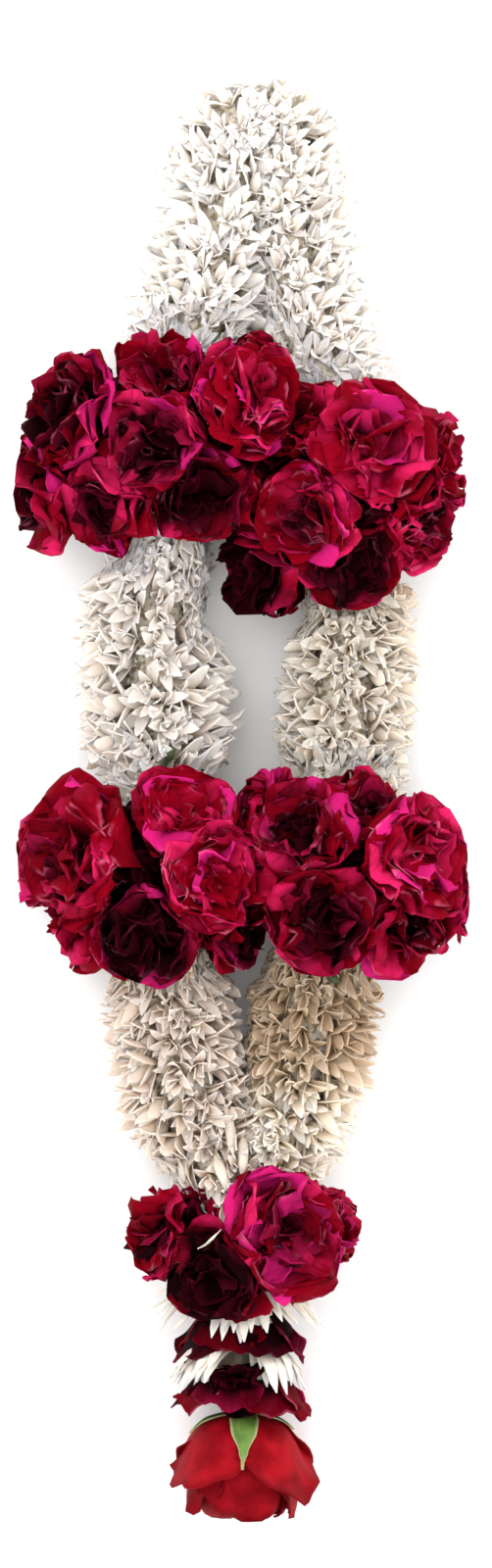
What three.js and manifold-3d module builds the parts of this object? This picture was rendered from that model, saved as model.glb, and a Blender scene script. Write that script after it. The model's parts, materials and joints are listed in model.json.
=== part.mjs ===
// A fresh flower garland laid flat: a closed loop of white florets strung on a thread, four bands
// of crimson roses tied round it, and a tassel of roses and white ruffs that ends in one red rose.
// Millimetres, +Z up. The loop lies in the XY plane with the tassel towards -Y, and the garland
// rests on z = 0, where the lowest petals are pressed flat.
import * as THREE from "three";
import { mergeVertices } from "three/addons/utils/BufferGeometryUtils.js";
import Module from "manifold-3d";

const wasm = await Module();
wasm.setup();

// ---------------------------------------------------------------- driving dimensions

const GAP = 0.35; // clearance left between pieces that touch
const PITCH = 19; // one whorl of florets along the thread
const FLORETS = 6; // florets in a whorl
const STRAND_R = 37; // thread to petal tips
const CORE_R = 15; // where the florets' tubes merge into one mass
const THREAD_R = 1.5;
const THREAD_SIDES = 4;
const BORE_R = 2.3; // channel left for the thread
const SMALLEST = 0.05; // facets finer than this are merged
const FLOOR_PRESS = 5; // how far petals would reach below the surface before they are cut flat

const ROSE_DEPTH = 0.5; // height of a bloom over its diameter
const ROSE_PETALS = 5; // petals in each layer of a bloom that shows
const HIDDEN_PETALS = 4; // and of a bloom on the underside
const CALYX_R = 5.5;
const CALYX_H = 7;
const STALK_R = 2.6;
const STALK_SIDES = 3;
const KNOT_R = 8; // where a band's stalks are tied together round the thread
const KNOT_LENGTH = 28;
const KNOT_SIDES = 6;

const RED_ROSE_R = 37;
const RED_ROSE_H = 54;
const CUP_R = 7.5; // green cup that the red rose sits in
const CUP_H = 4.2;
const CUP_SIDES = 8;
const THREAD_STOP = 1.2; // solid left under the thread's end in the cup
const SEPALS = 5;
const SEPAL_LENGTH = 38;
const SEPAL_WIDTH = 11;
const SEPAL_THICKNESS = 1.3;
const SEPAL_LIFT = 1; // how far a sepal stands off the red rose
const GROWTH = 0.06; // how much one petal is larger or smaller than the next
const TWIST = 0.16; // turn of each layer of petals over the one outside it, in radians
const SEEDS = { strands: 11, skirts: 31, blooms: 101, redRose: 77 };

const WHITE = { color: 0xf1ede4, roughness: 0.6, metalness: 0 };
const CRIMSON = { color: 0xa50a3c, roughness: 0.55, metalness: 0 };
const RED = { color: 0xb8202c, roughness: 0.55, metalness: 0 };
const GREEN = { color: 0x5f8a3c, roughness: 0.6, metalness: 0 };
const COTTON = { color: 0xd9cfae, roughness: 0.8, metalness: 0 };

// The thread's route down each side, from the top of the loop to the knot above the tassel.
const APEX = [9, 347, 34];
const KNOT = [4, -213, 38];
const LEFT_ROUTE = [
  APEX, [0, 343, 34], [-6, 326, 34], [-8, 300, 34], [-13, 275, 34], [-23, 245, 35],
  [-32, 215, 39], [-37, 181, 46], [-42, 146, 41], [-43, 120, 32], [-45, 85, 31],
  [-42, 46, 31], [-42, 12, 32], [-40, -12, 39], [-38, -39, 46], [-38, -67, 40],
  [-37, -92, 32], [-32, -120, 31], [-28, -146, 31], [-15, -176, 32], [-4, -200, 36], KNOT,
];
const RIGHT_ROUTE = [
  APEX, [15, 344, 33], [19, 326, 32], [22, 300, 31], [26, 275, 31], [33, 245, 32],
  [40, 214, 36], [47, 182, 41], [49, 154, 45], [52, 128, 41], [54, 102, 32], [55, 72, 31],
  [54, 44, 31], [51, 14, 33], [48, -14, 41], [46, -41, 46], [42, -68, 40],
  [38, -92, 32], [32, -120, 31], [27, -146, 31], [17, -174, 32], [9, -198, 36], KNOT,
];
const TAIL_ROUTE = [KNOT, [2, -228, 39], [0, -246, 36], [0, -270, 36], [0, -290, 36], [0, -313, 36]];

// Each band's roses: offset of the bloom's middle from the knot, then its diameter.
const BANDS = {
  upper_left: {
    at: [-37, 181, 46],
    axis: [-0.27, -0.96, 0],
    roses: [
      [36, 19, 30, 72], [-42, 12, 20, 70], [-57, -22, 0, 66], [-8, -2, 36, 64],
      [-2, 33, 24, 62], [-26, -28, 24, 62], [12, -22, 30, 62], [40, 2, -8, 58],
    ],
    under: [[-30, -6, -26, 68], [6, 6, -28, 66]],
  },
  upper_right: {
    at: [49, 154, 45],
    axis: [0.08, -1, 0],
    roses: [
      [13, 20, 34, 76], [42, 15, 6, 60], [-14, 34, 24, 50], [-12, -10, 36, 60],
      [-44, 0, 8, 62], [-35, -32, 6, 62], [33, -11, 14, 60], [6, -29, 22, 58],
    ],
    under: [[20, 2, -28, 66], [-16, -2, -28, 64]],
  },
  lower_left: {
    at: [-38, -39, 46],
    axis: [0, -1, 0],
    roses: [
      [-36, 8, 24, 82], [8, 26, 28, 60], [20, 0, 34, 64], [-8, -26, 28, 60],
      [-54, 8, -4, 60], [-42, -16, 4, 64], [32, -22, 8, 56],
    ],
    under: [[-24, 2, -28, 68], [12, 0, -28, 66]],
  },
  lower_right: {
    at: [46, -41, 46],
    axis: [-0.12, -1, 0],
    roses: [
      [36, 8, 24, 76], [-13, 22, 32, 62], [-4, -17, 36, 64], [30, -18, 18, 62],
      [-34, 30, 10, 52], [-36, 2, 20, 56], [53, -7, -8, 60], [14, 30, 18, 52],
    ],
    under: [[22, -4, -28, 66], [-14, -2, -28, 64]],
  },
  tassel: {
    at: [2, -228, 40],
    axis: [-0.12, -1, 0],
    roses: [
      [20, 8, 26, 72], [-18, -8, 26, 62], [-38, 4, 4, 56], [-21, 18, 20, 48], [40, 14, 4, 50],
    ],
    under: [[2, 0, -24, 62]],
  },
};

// What is threaded on the tassel's tail: skirts of petals that open downwards, each over the next.
const TAIL = [
  { name: "ruff_upper", top: -244, radius: 36, look: "white" },
  { name: "disc_upper", top: -260.5, radius: 32, look: "crimson" },
  { name: "ruff_lower", top: -276.5, radius: 36, look: "white" },
  { name: "disc_lower", top: -292, radius: 34, look: "crimson" },
];
const TAIL_AT = [0, 36]; // the tail's place across and above the surface
const SKIRT_H = 22;
const RUFF_PETALS = 9;
const RED_ROSE_AT = [0, -342.5, 36];

// ---------------------------------------------------------------- small tools

const vec = (p) => new THREE.Vector3(...p);

function seeded(seed) {
  let state = seed >>> 0;
  return () => {
    state = (state + 0x6d2b79f5) >>> 0;
    let t = state;
    t = Math.imul(t ^ (t >>> 15), t | 1);
    t ^= t + Math.imul(t ^ (t >>> 7), t | 61);
    return ((t ^ (t >>> 14)) >>> 0) / 4294967296;
  };
}

const spread = (random, amount) => (random() * 2 - 1) * amount;

// Two unit vectors square to a direction.
function sideways(direction) {
  const helper = Math.abs(direction.z) < 0.8 ? new THREE.Vector3(0, 0, 1) : new THREE.Vector3(0, 1, 0);
  const u = new THREE.Vector3().crossVectors(helper, direction).normalize();
  return [u, new THREE.Vector3().crossVectors(direction, u)];
}

function solidOf(vertices, triangles) {
  const mesh = new wasm.Mesh({
    numProp: 3,
    vertProperties: new Float32Array(vertices.flatMap((v) => [v.x, v.y, v.z])),
    triVerts: new Uint32Array(triangles.flat()),
  });
  return new wasm.Manifold(mesh);
}

function solidOfGeometry(geometry) {
  const plain = geometry.clone();
  plain.deleteAttribute("normal");
  plain.deleteAttribute("uv");
  const merged = mergeVertices(plain, 1e-4);
  return new wasm.Manifold(
    new wasm.Mesh({
      numProp: 3,
      vertProperties: merged.getAttribute("position").array,
      triVerts: new Uint32Array(merged.index.array),
    }),
  );
}

function geometryOf(solid) {
  const mesh = solid.getMesh();
  return new THREE.BufferGeometry()
    .setAttribute("position", new THREE.BufferAttribute(Float32Array.from(mesh.vertProperties), 3))
    .setIndex(new THREE.BufferAttribute(Uint32Array.from(mesh.triVerts), 1));
}

const cutAtWall = (solid, { normal, reach }) =>
  solid.trimByPlane(normal.clone().negate().toArray(), -reach);

// The largest piece of a solid once everything below the surface z = 0 is cut away.
function restOnSurface(solid) {
  const pieces = solid.trimByPlane([0, 0, 1], 0).decompose();
  return pieces.reduce((a, b) => (a.volume() > b.volume() ? a : b)).simplify(SMALLEST);
}

const garland = new THREE.Group();

function addPiece(name, solid, look) {
  const geometry = geometryOf(restOnSurface(solid));
  geometry.computeVertexNormals();
  const piece = new THREE.Mesh(geometry, new THREE.MeshStandardMaterial(look));
  piece.name = name;
  garland.add(piece);
}

// ---------------------------------------------------------------- room for each piece

// A wall is a plane that a piece stays behind: normal . p <= reach.
const wall = (normal, reach) => ({ normal, reach });
const FLOOR = wall(new THREE.Vector3(0, 0, -1), FLOOR_PRESS);

// Petals keep their place up to this share of the room, and are pressed together past it.
const FREE_SHARE = 0.7;
const EASING = 1.7; // how fast a wall gives way past its rose, per unit of length along the strand

function pressed(share) {
  if (share <= FREE_SHARE) return share;
  const over = (share - FREE_SHARE) / (1 - FREE_SHARE);
  return FREE_SHARE + (1 - FREE_SHARE) * (over / (1 + over));
}

// Moves a point towards its anchor, so that it lies inside every wall.
function fitted(point, anchor, walls) {
  const ray = point.clone().sub(anchor);
  const length = ray.length();
  if (length < 1e-6) return point.clone();
  ray.divideScalar(length);
  let room = Infinity;
  for (const { normal, reach, from } of walls) {
    const towards = normal.dot(ray);
    if (towards < 1e-6) continue;
    let distance = (reach - normal.dot(anchor)) / towards;
    if (from) distance += EASING * Math.max(0, Math.abs(from.along.dot(anchor) - from.at) - from.within);
    room = Math.min(room, distance);
  }
  if (room === Infinity) return point.clone();
  return anchor.clone().addScaledVector(ray, room * pressed(length / room));
}

// ---------------------------------------------------------------- thread and strands

const curve = (route) => new THREE.CatmullRomCurve3(route.map(vec), false, "centripetal");

// Points one pitch apart along a route, so thread and strands bend at the same places.
function stations(route) {
  const path = curve(route);
  const steps = Math.round(path.getLength() / PITCH);
  const points = path.getSpacedPoints(steps);
  return points.map((at, i) => ({ at, along: path.getTangentAt(i / steps) }));
}

const SIDES = { left: stations(LEFT_ROUTE), right: stations(RIGHT_ROUTE) };

function round(radius, sides) {
  const outline = new THREE.Shape();
  for (let i = 0; i < sides; i++) {
    const angle = (2 * Math.PI * i) / sides;
    outline[i ? "lineTo" : "moveTo"](radius * Math.cos(angle), radius * Math.sin(angle));
  }
  return outline;
}

function tube(route, radius) {
  const path = curve(route);
  const steps = Math.round(path.getLength() / PITCH);
  return solidOfGeometry(
    new THREE.ExtrudeGeometry(round(radius, THREAD_SIDES), { steps, extrudePath: path }),
  );
}

const threadWith = (radius) =>
  tube(LEFT_ROUTE, radius).add(tube(RIGHT_ROUTE, radius)).add(tube(TAIL_ROUTE, radius));

// A length of florets: a tube round the thread whose skin is a honeycomb of cells, each cell raised
// into one floret with six tips, three long and three short, round a sunken throat.
function florets(line, { radius, around, walls, seed, taper, lean = 0 }) {
  const random = seeded(seed);
  const vertices = [];
  const triangles = [];
  const put = (v) => vertices.push(v) - 1;
  const half = Math.PI / around;
  const frames = line.map(({ at, along }) => {
    const up = new THREE.Vector3(0, 0, 1);
    const side = new THREE.Vector3().crossVectors(up, along).normalize();
    return { at, along, side, up: new THREE.Vector3().crossVectors(along, side) };
  });
  const place = (f, angle, r, shift) =>
    f.at
      .clone()
      .addScaledVector(f.side, r * Math.cos(angle))
      .addScaledVector(f.up, r * Math.sin(angle))
      .addScaledVector(f.along, shift);
  const size = frames.map((_, i) => taper(i / (frames.length - 1)));

  // Skin between whorls: 2 * around points on each boundary, in a zigzag that makes the honeycomb.
  const skin = frames.map((f, i) =>
    Array.from({ length: 2 * around }, (_, k) => {
      const inner = i > 0 && i < frames.length - 1;
      const zigzag = inner ? ((k + i) % 2 ? PITCH / 6 : -PITCH / 6) : 0;
      const raised = place(f, half * k, CORE_R * size[i], 0);
      return put(fitted(raised, f.at, walls).addScaledVector(f.along, zigzag));
    }),
  );
  const bore = frames.map((f) =>
    Array.from({ length: around }, (_, k) => put(place(f, 2 * half * k, BORE_R, 0))),
  );

  for (let i = 0; i < frames.length - 1; i++) {
    const f = {};
    for (const key of ["at", "along", "side", "up"])
      f[key] = frames[i][key].clone().lerp(frames[i + 1][key], 0.5);
    const here = (size[i] + size[i + 1]) / 2;
    for (let k = 0; k < around; k++) {
      const middle = 2 * k + (i % 2);
      const rim = [
        skin[i][(middle + 2 * around - 1) % (2 * around)],
        skin[i][middle % (2 * around)],
        skin[i][(middle + 1) % (2 * around)],
        skin[i + 1][(middle + 1) % (2 * around)],
        skin[i + 1][middle % (2 * around)],
        skin[i + 1][(middle + 2 * around - 1) % (2 * around)],
      ];
      const corner = [[-1, -0.6], [0, -1], [1, -0.6], [1, 0.6], [0, 1], [-1, 0.6]];
      const turn = spread(random, 0.12);
      const shift = spread(random, 0.12) * PITCH + lean * here;
      const reach = radius * here * (1 + spread(random, 0.08));
      const tips = corner.map(([across, lengthways], c) => {
        const long = (c + k + i) % 2 === 0;
        const r = reach * (long ? 1 : 0.8);
        const open = long ? 0.84 : 0.6;
        const angle = half * (middle + across * open + turn);
        const p = place(f, angle, r, lengthways * open * (PITCH / 2) + shift);
        return put(fitted(p, f.at, walls));
      });
      const throat = put(fitted(place(f, half * (middle + turn), reach * 0.62, shift), f.at, walls));
      for (let c = 0; c < 6; c++) {
        const next = (c + 1) % 6;
        triangles.push([rim[c], rim[next], tips[c]], [rim[next], tips[next], tips[c]]);
        triangles.push([tips[c], tips[next], throat]);
      }
    }
    for (let k = 0; k < around; k++) {
      const next = (k + 1) % around;
      triangles.push([bore[i][k], bore[i + 1][k], bore[i][next]]);
      triangles.push([bore[i][next], bore[i + 1][k], bore[i + 1][next]]);
    }
  }
  const cap = (ring, hole, flip) => {
    for (let k = 0; k < around; k++) {
      const next = (k + 1) % around;
      const [a, b, c] = [ring[2 * k], ring[2 * k + 1], ring[(2 * k + 2) % (2 * around)]];
      for (const t of [[hole[k], b, a], [hole[k], hole[next], b], [hole[next], c, b]])
        triangles.push(flip ? [t[0], t[2], t[1]] : t);
    }
  };
  cap(skin[0], bore[0], false);
  cap(skin.at(-1), bore.at(-1), true);
  return solidOf(vertices, triangles);
}

// ---------------------------------------------------------------- roses

// A bloom's section from its base to its heart: share of the radius, share of the height, and how
// far the notches between petals cut in and down. Each rim with a notch is the edge of a layer.
const BLOOM_SECTION = [
  { r: 0.3, h: 0 },
  { r: 1.0, h: 0.66, notch: 0.2, dip: 0.1 },
  { r: 0.7, h: 0.56 },
  { r: 0.77, h: 0.94, notch: 0.18, dip: 0.08, layer: 1 },
  { r: 0.46, h: 0.7, layer: 1 },
  { r: 0.35, h: 1.03, notch: 0.25, dip: 0.06, layer: 2 },
];
const RED_ROSE_SECTION = [
  { r: 0.34, h: 0 },
  { r: 0.76, h: 0.14 },
  { r: 0.88, h: 0.33 },
  { r: 1.03, h: 0.54, notch: 0.14, dip: 0.1 },
  { r: 0.84, h: 0.5, notch: 0.03 },
  { r: 0.93, h: 0.72 },
  { r: 0.7, h: 0.99, notch: 0.1, dip: 0.05, layer: 1 },
  { r: 0.5, h: 0.78, layer: 1 },
  { r: 0.4, h: 0.97, notch: 0.14, dip: 0.06, layer: 2 },
];
const RUFF_SECTION = [
  { r: 0.26, h: 0 },
  { r: 0.94, h: 0.52, notch: 0.34, dip: 0.25 },
  { r: 0.6, h: 0.46 },
  { r: 1.02, h: 0.98, notch: 0.36, dip: 0.24, layer: 1 },
  { r: 0.5, h: 0.68, layer: 1 },
  { r: 0.2, h: 0.64, layer: 1 },
];
const DISC_SECTION = [
  { r: 0.26, h: 0 },
  { r: 0.92, h: 0.46, notch: 0.16, dip: 0.1 },
  { r: 0.72, h: 0.46, notch: 0.1 },
  { r: 0.98, h: 0.96, notch: 0.2, dip: 0.16, layer: 1 },
  { r: 0.5, h: 0.68, layer: 1 },
  { r: 0.2, h: 0.64, layer: 1 },
];
const SMALL_SECTION = BLOOM_SECTION.slice(0, 5);
const HIDDEN_SECTION = BLOOM_SECTION.slice(0, 4);
const SMALL_ROSE_R = 29.5; // a rose no bigger than this has one layer of petals less
const HEART = 0.72; // depth of the bloom's heart, as a share of the height

// Blooms and skirts: each petal has its shoulder at all but the last of its points.
function bloom({
  at,
  facing,
  radius,
  height,
  petals,
  walls,
  seed,
  section = BLOOM_SECTION,
  heart = HEART,
  points = 3,
}) {
  const random = seeded(seed);
  const [u, v] = sideways(facing);
  const count = points * petals;
  const start = random() * 2 * Math.PI;
  const base = at.clone().addScaledVector(facing, -height / 2);
  const vertices = [];
  const triangles = [];
  const put = (angle, r, h) => {
    const p = base
      .clone()
      .addScaledVector(u, r * Math.cos(angle))
      .addScaledVector(v, r * Math.sin(angle))
      .addScaledVector(facing, h);
    return vertices.push(fitted(p, at, walls)) - 1;
  };
  const rings = section.map(({ r, h, notch = 0, dip = 0, layer = 0 }) => {
    const grown = Array.from({ length: petals }, () => spread(random, notch > 0 ? GROWTH : 0));
    return Array.from({ length: count }, (_, k) => {
      const turned = k + layer;
      const shoulder = turned % points !== points - 1;
      const own = 1 + grown[Math.floor(turned / points) % petals];
      const angle = start + (2 * Math.PI * k) / count + TWIST * layer;
      return put(
        angle,
        radius * r * own * (shoulder ? 1 : 1 - notch),
        height * h * (shoulder ? 1 : 1 - dip),
      );
    });
  });
  const bottom = put(0, 0, 0);
  const middle = put(0, 0, height * heart);
  for (let k = 0; k < count; k++) {
    const next = (k + 1) % count;
    triangles.push([bottom, rings[0][next], rings[0][k]]);
    for (let row = 0; row < rings.length - 1; row++) {
      const [a, b] = [rings[row], rings[row + 1]];
      triangles.push([a[k], a[next], b[k]], [a[next], b[next], b[k]]);
    }
    triangles.push([rings.at(-1)[k], rings.at(-1)[next], middle]);
  }
  return solidOf(vertices, triangles);
}

// ---------------------------------------------------------------- stalks and calyxes

// A straight bar through rings of points: rings[i] = { at, radius }, all square to one direction.
function bar(rings, direction, sides) {
  const [u, v] = sideways(direction);
  const vertices = rings.flatMap(({ at, radius }) =>
    Array.from({ length: sides }, (_, k) => {
      const angle = (2 * Math.PI * k) / sides;
      return at
        .clone()
        .addScaledVector(u, radius * Math.cos(angle))
        .addScaledVector(v, radius * Math.sin(angle));
    }),
  );
  const triangles = [];
  const last = (rings.length - 1) * sides;
  for (let k = 0; k < sides; k++) {
    const next = (k + 1) % sides;
    for (let row = 0; row < last; row += sides) {
      triangles.push([row + k, row + next, row + sides + k]);
      triangles.push([row + next, row + sides + next, row + sides + k]);
    }
    if (k > 0 && next > 0) {
      triangles.push([0, next, k], [last, last + k, last + next]);
    }
  }
  return solidOf(vertices, triangles);
}

// A rose's stalk from the knot to its calyx, which ends flat under the bloom. Room is added all
// round where the stalk is used to clear a channel through another rose.
function stalk(rose, room = 0) {
  const under = rose.at.clone().addScaledVector(rose.facing, -rose.height / 2);
  const base = fitted(under, rose.at, rose.walls).addScaledVector(rose.facing, -GAP);
  const neck = base.clone().addScaledVector(rose.facing, -CALYX_H);
  const rings = [
    { at: vec(rose.band.at), radius: STALK_R + room },
    { at: neck, radius: STALK_R + room },
    { at: base.clone().addScaledVector(rose.facing, room), radius: CALYX_R + room },
  ];
  return bar(rings, rose.facing, STALK_SIDES);
}

// The knot that ties a band's stalks round the thread.
function knot(band, room = 0) {
  const axis = vec(band.axis).normalize();
  const ring = (share, radius) => ({
    at: vec(band.at).addScaledVector(axis, (share * KNOT_LENGTH) / 2),
    radius: radius + room,
  });
  const rings = [ring(-1, KNOT_R / 2), ring(-0.5, KNOT_R), ring(0.5, KNOT_R), ring(1, KNOT_R / 2)];
  return bar(rings, axis, KNOT_SIDES);
}

// One sepal: a blade that runs over the red rose's shoulder, as far out as its section goes.
function sepal(turn) {
  const at = vec(RED_ROSE_AT);
  const away = new THREE.Vector3(Math.sin(turn), 0, Math.cos(turn));
  const across = new THREE.Vector3(Math.cos(turn), 0, -Math.sin(turn));
  const top = at.y + RED_ROSE_H / 2;
  const path = RED_ROSE_SECTION.slice(0, 4).map(
    ({ r, h, notch = 0 }) =>
      new THREE.Vector2(
        r * RED_ROSE_R * (notch ? 1 + GROWTH : 1) + SEPAL_LIFT,
        top - h * RED_ROSE_H + SEPAL_LIFT,
      ),
  );
  path.unshift(new THREE.Vector2(CUP_R / 2, top + SEPAL_LIFT));
  const runs = path.slice(1).map((p, i) => p.distanceTo(path[i]));
  const along = (distance) => {
    let i = 0;
    let left = distance;
    while (i < runs.length - 1 && left > runs[i]) left -= runs[i++];
    return path[i].clone().lerp(path[i + 1], left / runs[i]);
  };
  const shares = [0, 0.3, 0.62, 0.86, 1];
  const widths = [0.6, 0.95, 1, 0.6, 0.12];
  const vertices = [];
  const triangles = [];
  shares.forEach((share, i) => {
    const p = along(share * SEPAL_LENGTH);
    const ahead = along(share * SEPAL_LENGTH + SEPAL_THICKNESS / 2);
    const out = ahead.sub(p).normalize();
    for (const lift of [0, SEPAL_THICKNESS]) {
      for (const hand of [-1, 1]) {
        vertices.push(
          at
            .clone()
            .setY(p.y + out.x * lift)
            .addScaledVector(away, p.x - out.y * lift)
            .addScaledVector(across, (hand * widths[i] * SEPAL_WIDTH) / 2),
        );
      }
    }
    if (!i) return;
    const [a, b] = [4 * i - 4, 4 * i];
    for (const [m, n] of [[0, 1], [1, 3], [3, 2], [2, 0]]) {
      triangles.push([a + m, a + n, b + m], [a + n, b + n, b + m]);
    }
  });
  const end = 4 * (shares.length - 1);
  triangles.push([0, 3, 1], [0, 2, 3], [end, end + 1, end + 3], [end, end + 3, end + 2]);
  return solidOf(vertices, triangles);
}

// The cup that holds the red rose, blind-drilled for the end of the thread, and its sepals.
function redRoseCalyx() {
  const down = new THREE.Vector3(0, -1, 0);
  const top = vec(RED_ROSE_AT).addScaledVector(down, -RED_ROSE_H / 2 - GAP);
  const above = (distance) => top.clone().addScaledVector(down, -distance);
  const cup = bar(
    [
      { at: above(CUP_H), radius: CALYX_R - 1.3 },
      { at: above(CUP_H / 3), radius: CUP_R },
      { at: above(0), radius: CUP_R },
    ],
    down,
    CUP_SIDES,
  );
  const bottom = { at: above(THREAD_STOP), radius: BORE_R };
  const hole = bar([{ at: above(2 * CUP_H), radius: BORE_R }, bottom], down, KNOT_SIDES);
  let solid = cup;
  for (let i = 0; i < SEPALS; i++) solid = solid.add(sepal((2 * Math.PI * i) / SEPALS));
  return solid.subtract(hole);
}

// ---------------------------------------------------------------- laying out the bands

// One rose of a band, with the direction it faces: away from the knot, turned a little upwards.
function roseOf(band, [dx, dy, dz, diameter], name, hidden) {
  const at = vec(band.at).add(new THREE.Vector3(dx, dy, dz));
  const lift = hidden ? 0 : 8;
  const facing = new THREE.Vector3(dx, 0.7 * dy, dz + lift).normalize();
  return { name, band, at, facing, radius: diameter / 2, height: diameter * ROSE_DEPTH, hidden };
}

const roses = Object.entries(BANDS).flatMap(([name, band]) => [
  ...band.roses.map((row, i) => roseOf(band, row, `rose_${name}_${i + 1}`, false)),
  ...band.under.map((row) => roseOf(band, row, `roses_${name}_under`, true)),
]);

// Neighbouring roses share the room between them in proportion to their size.
const NEAR = 1.25; // pieces further apart than their radii times this don't press each other
function wallsBetween(rose, others) {
  const walls = [FLOOR];
  for (const other of others) {
    if (other === rose || (other.name === rose.name && rose.hidden)) continue;
    const towards = other.at.clone().sub(rose.at);
    const distance = towards.length();
    if (distance > NEAR * (rose.radius + other.radius)) continue;
    towards.divideScalar(distance);
    const share = (distance * rose.radius) / (rose.radius + other.radius) - GAP / 2;
    walls.push(wall(towards, towards.dot(rose.at) + share));
  }
  return walls;
}
for (const rose of roses) rose.walls = wallsBetween(rose, roses);

// The wall between the two sides of the loop where they touch, at the top and above the tassel.
const topDivide = { normal: new THREE.Vector3(1, 0.08, -0.25).normalize(), through: vec(APEX) };
const footDivide = { normal: new THREE.Vector3(1, 0, -0.1).normalize(), through: vec(KNOT) };

function divideWall({ normal, through }, side) {
  const outward = normal.clone().multiplyScalar(side === "left" ? 1 : -1);
  return wall(outward, outward.dot(through) - GAP / 2);
}

// Six lengths of florets, each a run of stations between two bands or a band and the loop's end.
const STRANDS = [
  { name: "florets_top_left", side: "left", from: APEX, to: [-30, 214], divide: topDivide },
  { name: "florets_middle_left", side: "left", from: [-43, 146], to: [-39, -8], radius: 39 },
  { name: "florets_foot_left", side: "left", from: [-38, -72], to: [-2, -203], divide: footDivide, lean: 5 },
  { name: "florets_top_right", side: "right", from: APEX, to: [46, 190], divide: topDivide },
  { name: "florets_middle_right", side: "right", from: [51, 122], to: [48, -8], radius: 35 },
  { name: "florets_foot_right", side: "right", from: [41, -74], to: [9, -200], divide: footDivide, lean: 5 },
];

function nearest(line, [x, y]) {
  let best = 0;
  line.forEach(({ at }, i) => {
    if (Math.hypot(at.x - x, at.y - y) < Math.hypot(line[best].at.x - x, line[best].at.y - y)) best = i;
  });
  return best;
}

for (const strand of STRANDS) {
  const line = SIDES[strand.side];
  strand.line = line.slice(nearest(line, strand.from), nearest(line, strand.to) + 1);
  strand.radius ??= STRAND_R;
  strand.walls = [FLOOR];
  if (strand.divide) strand.walls.push(divideWall(strand.divide, strand.side));
}

for (const piece of TAIL) {
  const at = new THREE.Vector3(TAIL_AT[0], piece.top - SKIRT_H / 2, TAIL_AT[1]);
  piece.line = [{ at, along: new THREE.Vector3(0, -1, 0) }];
  piece.walls = [FLOOR];
}

// Florets and roses press on each other where they meet, up to this far past the rose.
const PRESS_REACH = 7;
for (const piece of [...STRANDS, ...TAIL]) {
  for (const rose of roses) {
    const near = piece.line.reduce((a, b) =>
      a.at.distanceTo(rose.at) < b.at.distanceTo(rose.at) ? a : b,
    );
    const towards = rose.at.clone().sub(near.at);
    const distance = towards.length();
    if (distance > NEAR * (rose.radius + piece.radius)) continue;
    towards.divideScalar(distance);
    const share = (distance * piece.radius) / (piece.radius + rose.radius);
    const reach = towards.dot(near.at) + share;
    const from = { along: near.along, at: near.along.dot(rose.at), within: rose.radius + PRESS_REACH };
    piece.walls.push({ ...wall(towards, reach - GAP / 2), from });
    rose.walls.push(wall(towards.clone().negate(), -reach - GAP / 2));
  }
}

// ---------------------------------------------------------------- building

// Whorls are full in the middle of a strand and shorter where it runs in under a band.
const TAPER_SHARE = 0.14;
const fadeIn = (share) => Math.min(1, 0.72 + (0.28 * share) / TAPER_SHARE);

STRANDS.forEach((strand, i) => {
  const solid = florets(strand.line, {
    radius: strand.radius,
    around: FLORETS,
    walls: strand.walls,
    seed: SEEDS.strands + i,
    taper: (share) => (strand.divide ? 1 : fadeIn(share)) * fadeIn(1 - share),
    lean: strand.lean,
  });
  addPiece(strand.name, strand.divide ? cutAtWall(solid, strand.walls[1]) : solid, WHITE);
});

// Each band's blooms, cut clear of the stalks of its other roses, and the stalks themselves.
const STALK_ROOM = 0.5;
const SEAT_ROOM = 0.25; // less round its own stalk, which it sits on
for (const [name, band] of Object.entries(BANDS)) {
  const own = roses.filter((rose) => rose.band === band);
  const blooms = new Map();
  for (const rose of own) {
    const form = rose.hidden
      ? { petals: HIDDEN_PETALS, points: 2, section: HIDDEN_SECTION }
      : { petals: ROSE_PETALS, section: rose.radius > SMALL_ROSE_R ? BLOOM_SECTION : SMALL_SECTION };
    let solid = bloom({ ...rose, ...form, seed: SEEDS.blooms + roses.indexOf(rose) });
    const stalks = own.map((other) => stalk(other, other === rose ? SEAT_ROOM : STALK_ROOM));
    for (const obstacle of [knot(band, STALK_ROOM), ...stalks]) {
      if (solid.intersect(obstacle).volume() > 0) solid = solid.subtract(obstacle);
    }
    blooms.set(rose.name, blooms.has(rose.name) ? blooms.get(rose.name).add(solid) : solid);
  }
  blooms.forEach((solid, bloomName) => addPiece(bloomName, solid, CRIMSON));
  const stalks = own.reduce((solid, rose) => solid.add(stalk(rose)), knot(band));
  addPiece(`stalks_${name}`, stalks.subtract(threadWith(BORE_R)), GREEN);
}

TAIL.forEach(({ name, line, radius, walls, look }, i) => {
  const white = look === "white";
  const skirt = bloom({
    at: line[0].at,
    facing: line[0].along,
    radius,
    height: SKIRT_H,
    petals: white ? RUFF_PETALS : ROSE_PETALS,
    points: white ? 2 : 3,
    section: white ? RUFF_SECTION : DISC_SECTION,
    heart: 0.64,
    walls,
    seed: SEEDS.skirts + i,
  });
  addPiece(name, skirt.subtract(threadWith(BORE_R)), white ? WHITE : CRIMSON);
});

const redRose = bloom({
  at: vec(RED_ROSE_AT),
  facing: new THREE.Vector3(0, -1, 0),
  radius: RED_ROSE_R,
  height: RED_ROSE_H,
  petals: ROSE_PETALS,
  walls: [FLOOR],
  seed: SEEDS.redRose,
  section: RED_ROSE_SECTION,
});
addPiece("red_rose", redRose, RED);
addPiece("red_rose_calyx", redRoseCalyx(), GREEN);
addPiece("thread", threadWith(THREAD_R), COTTON);

export default garland;
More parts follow.
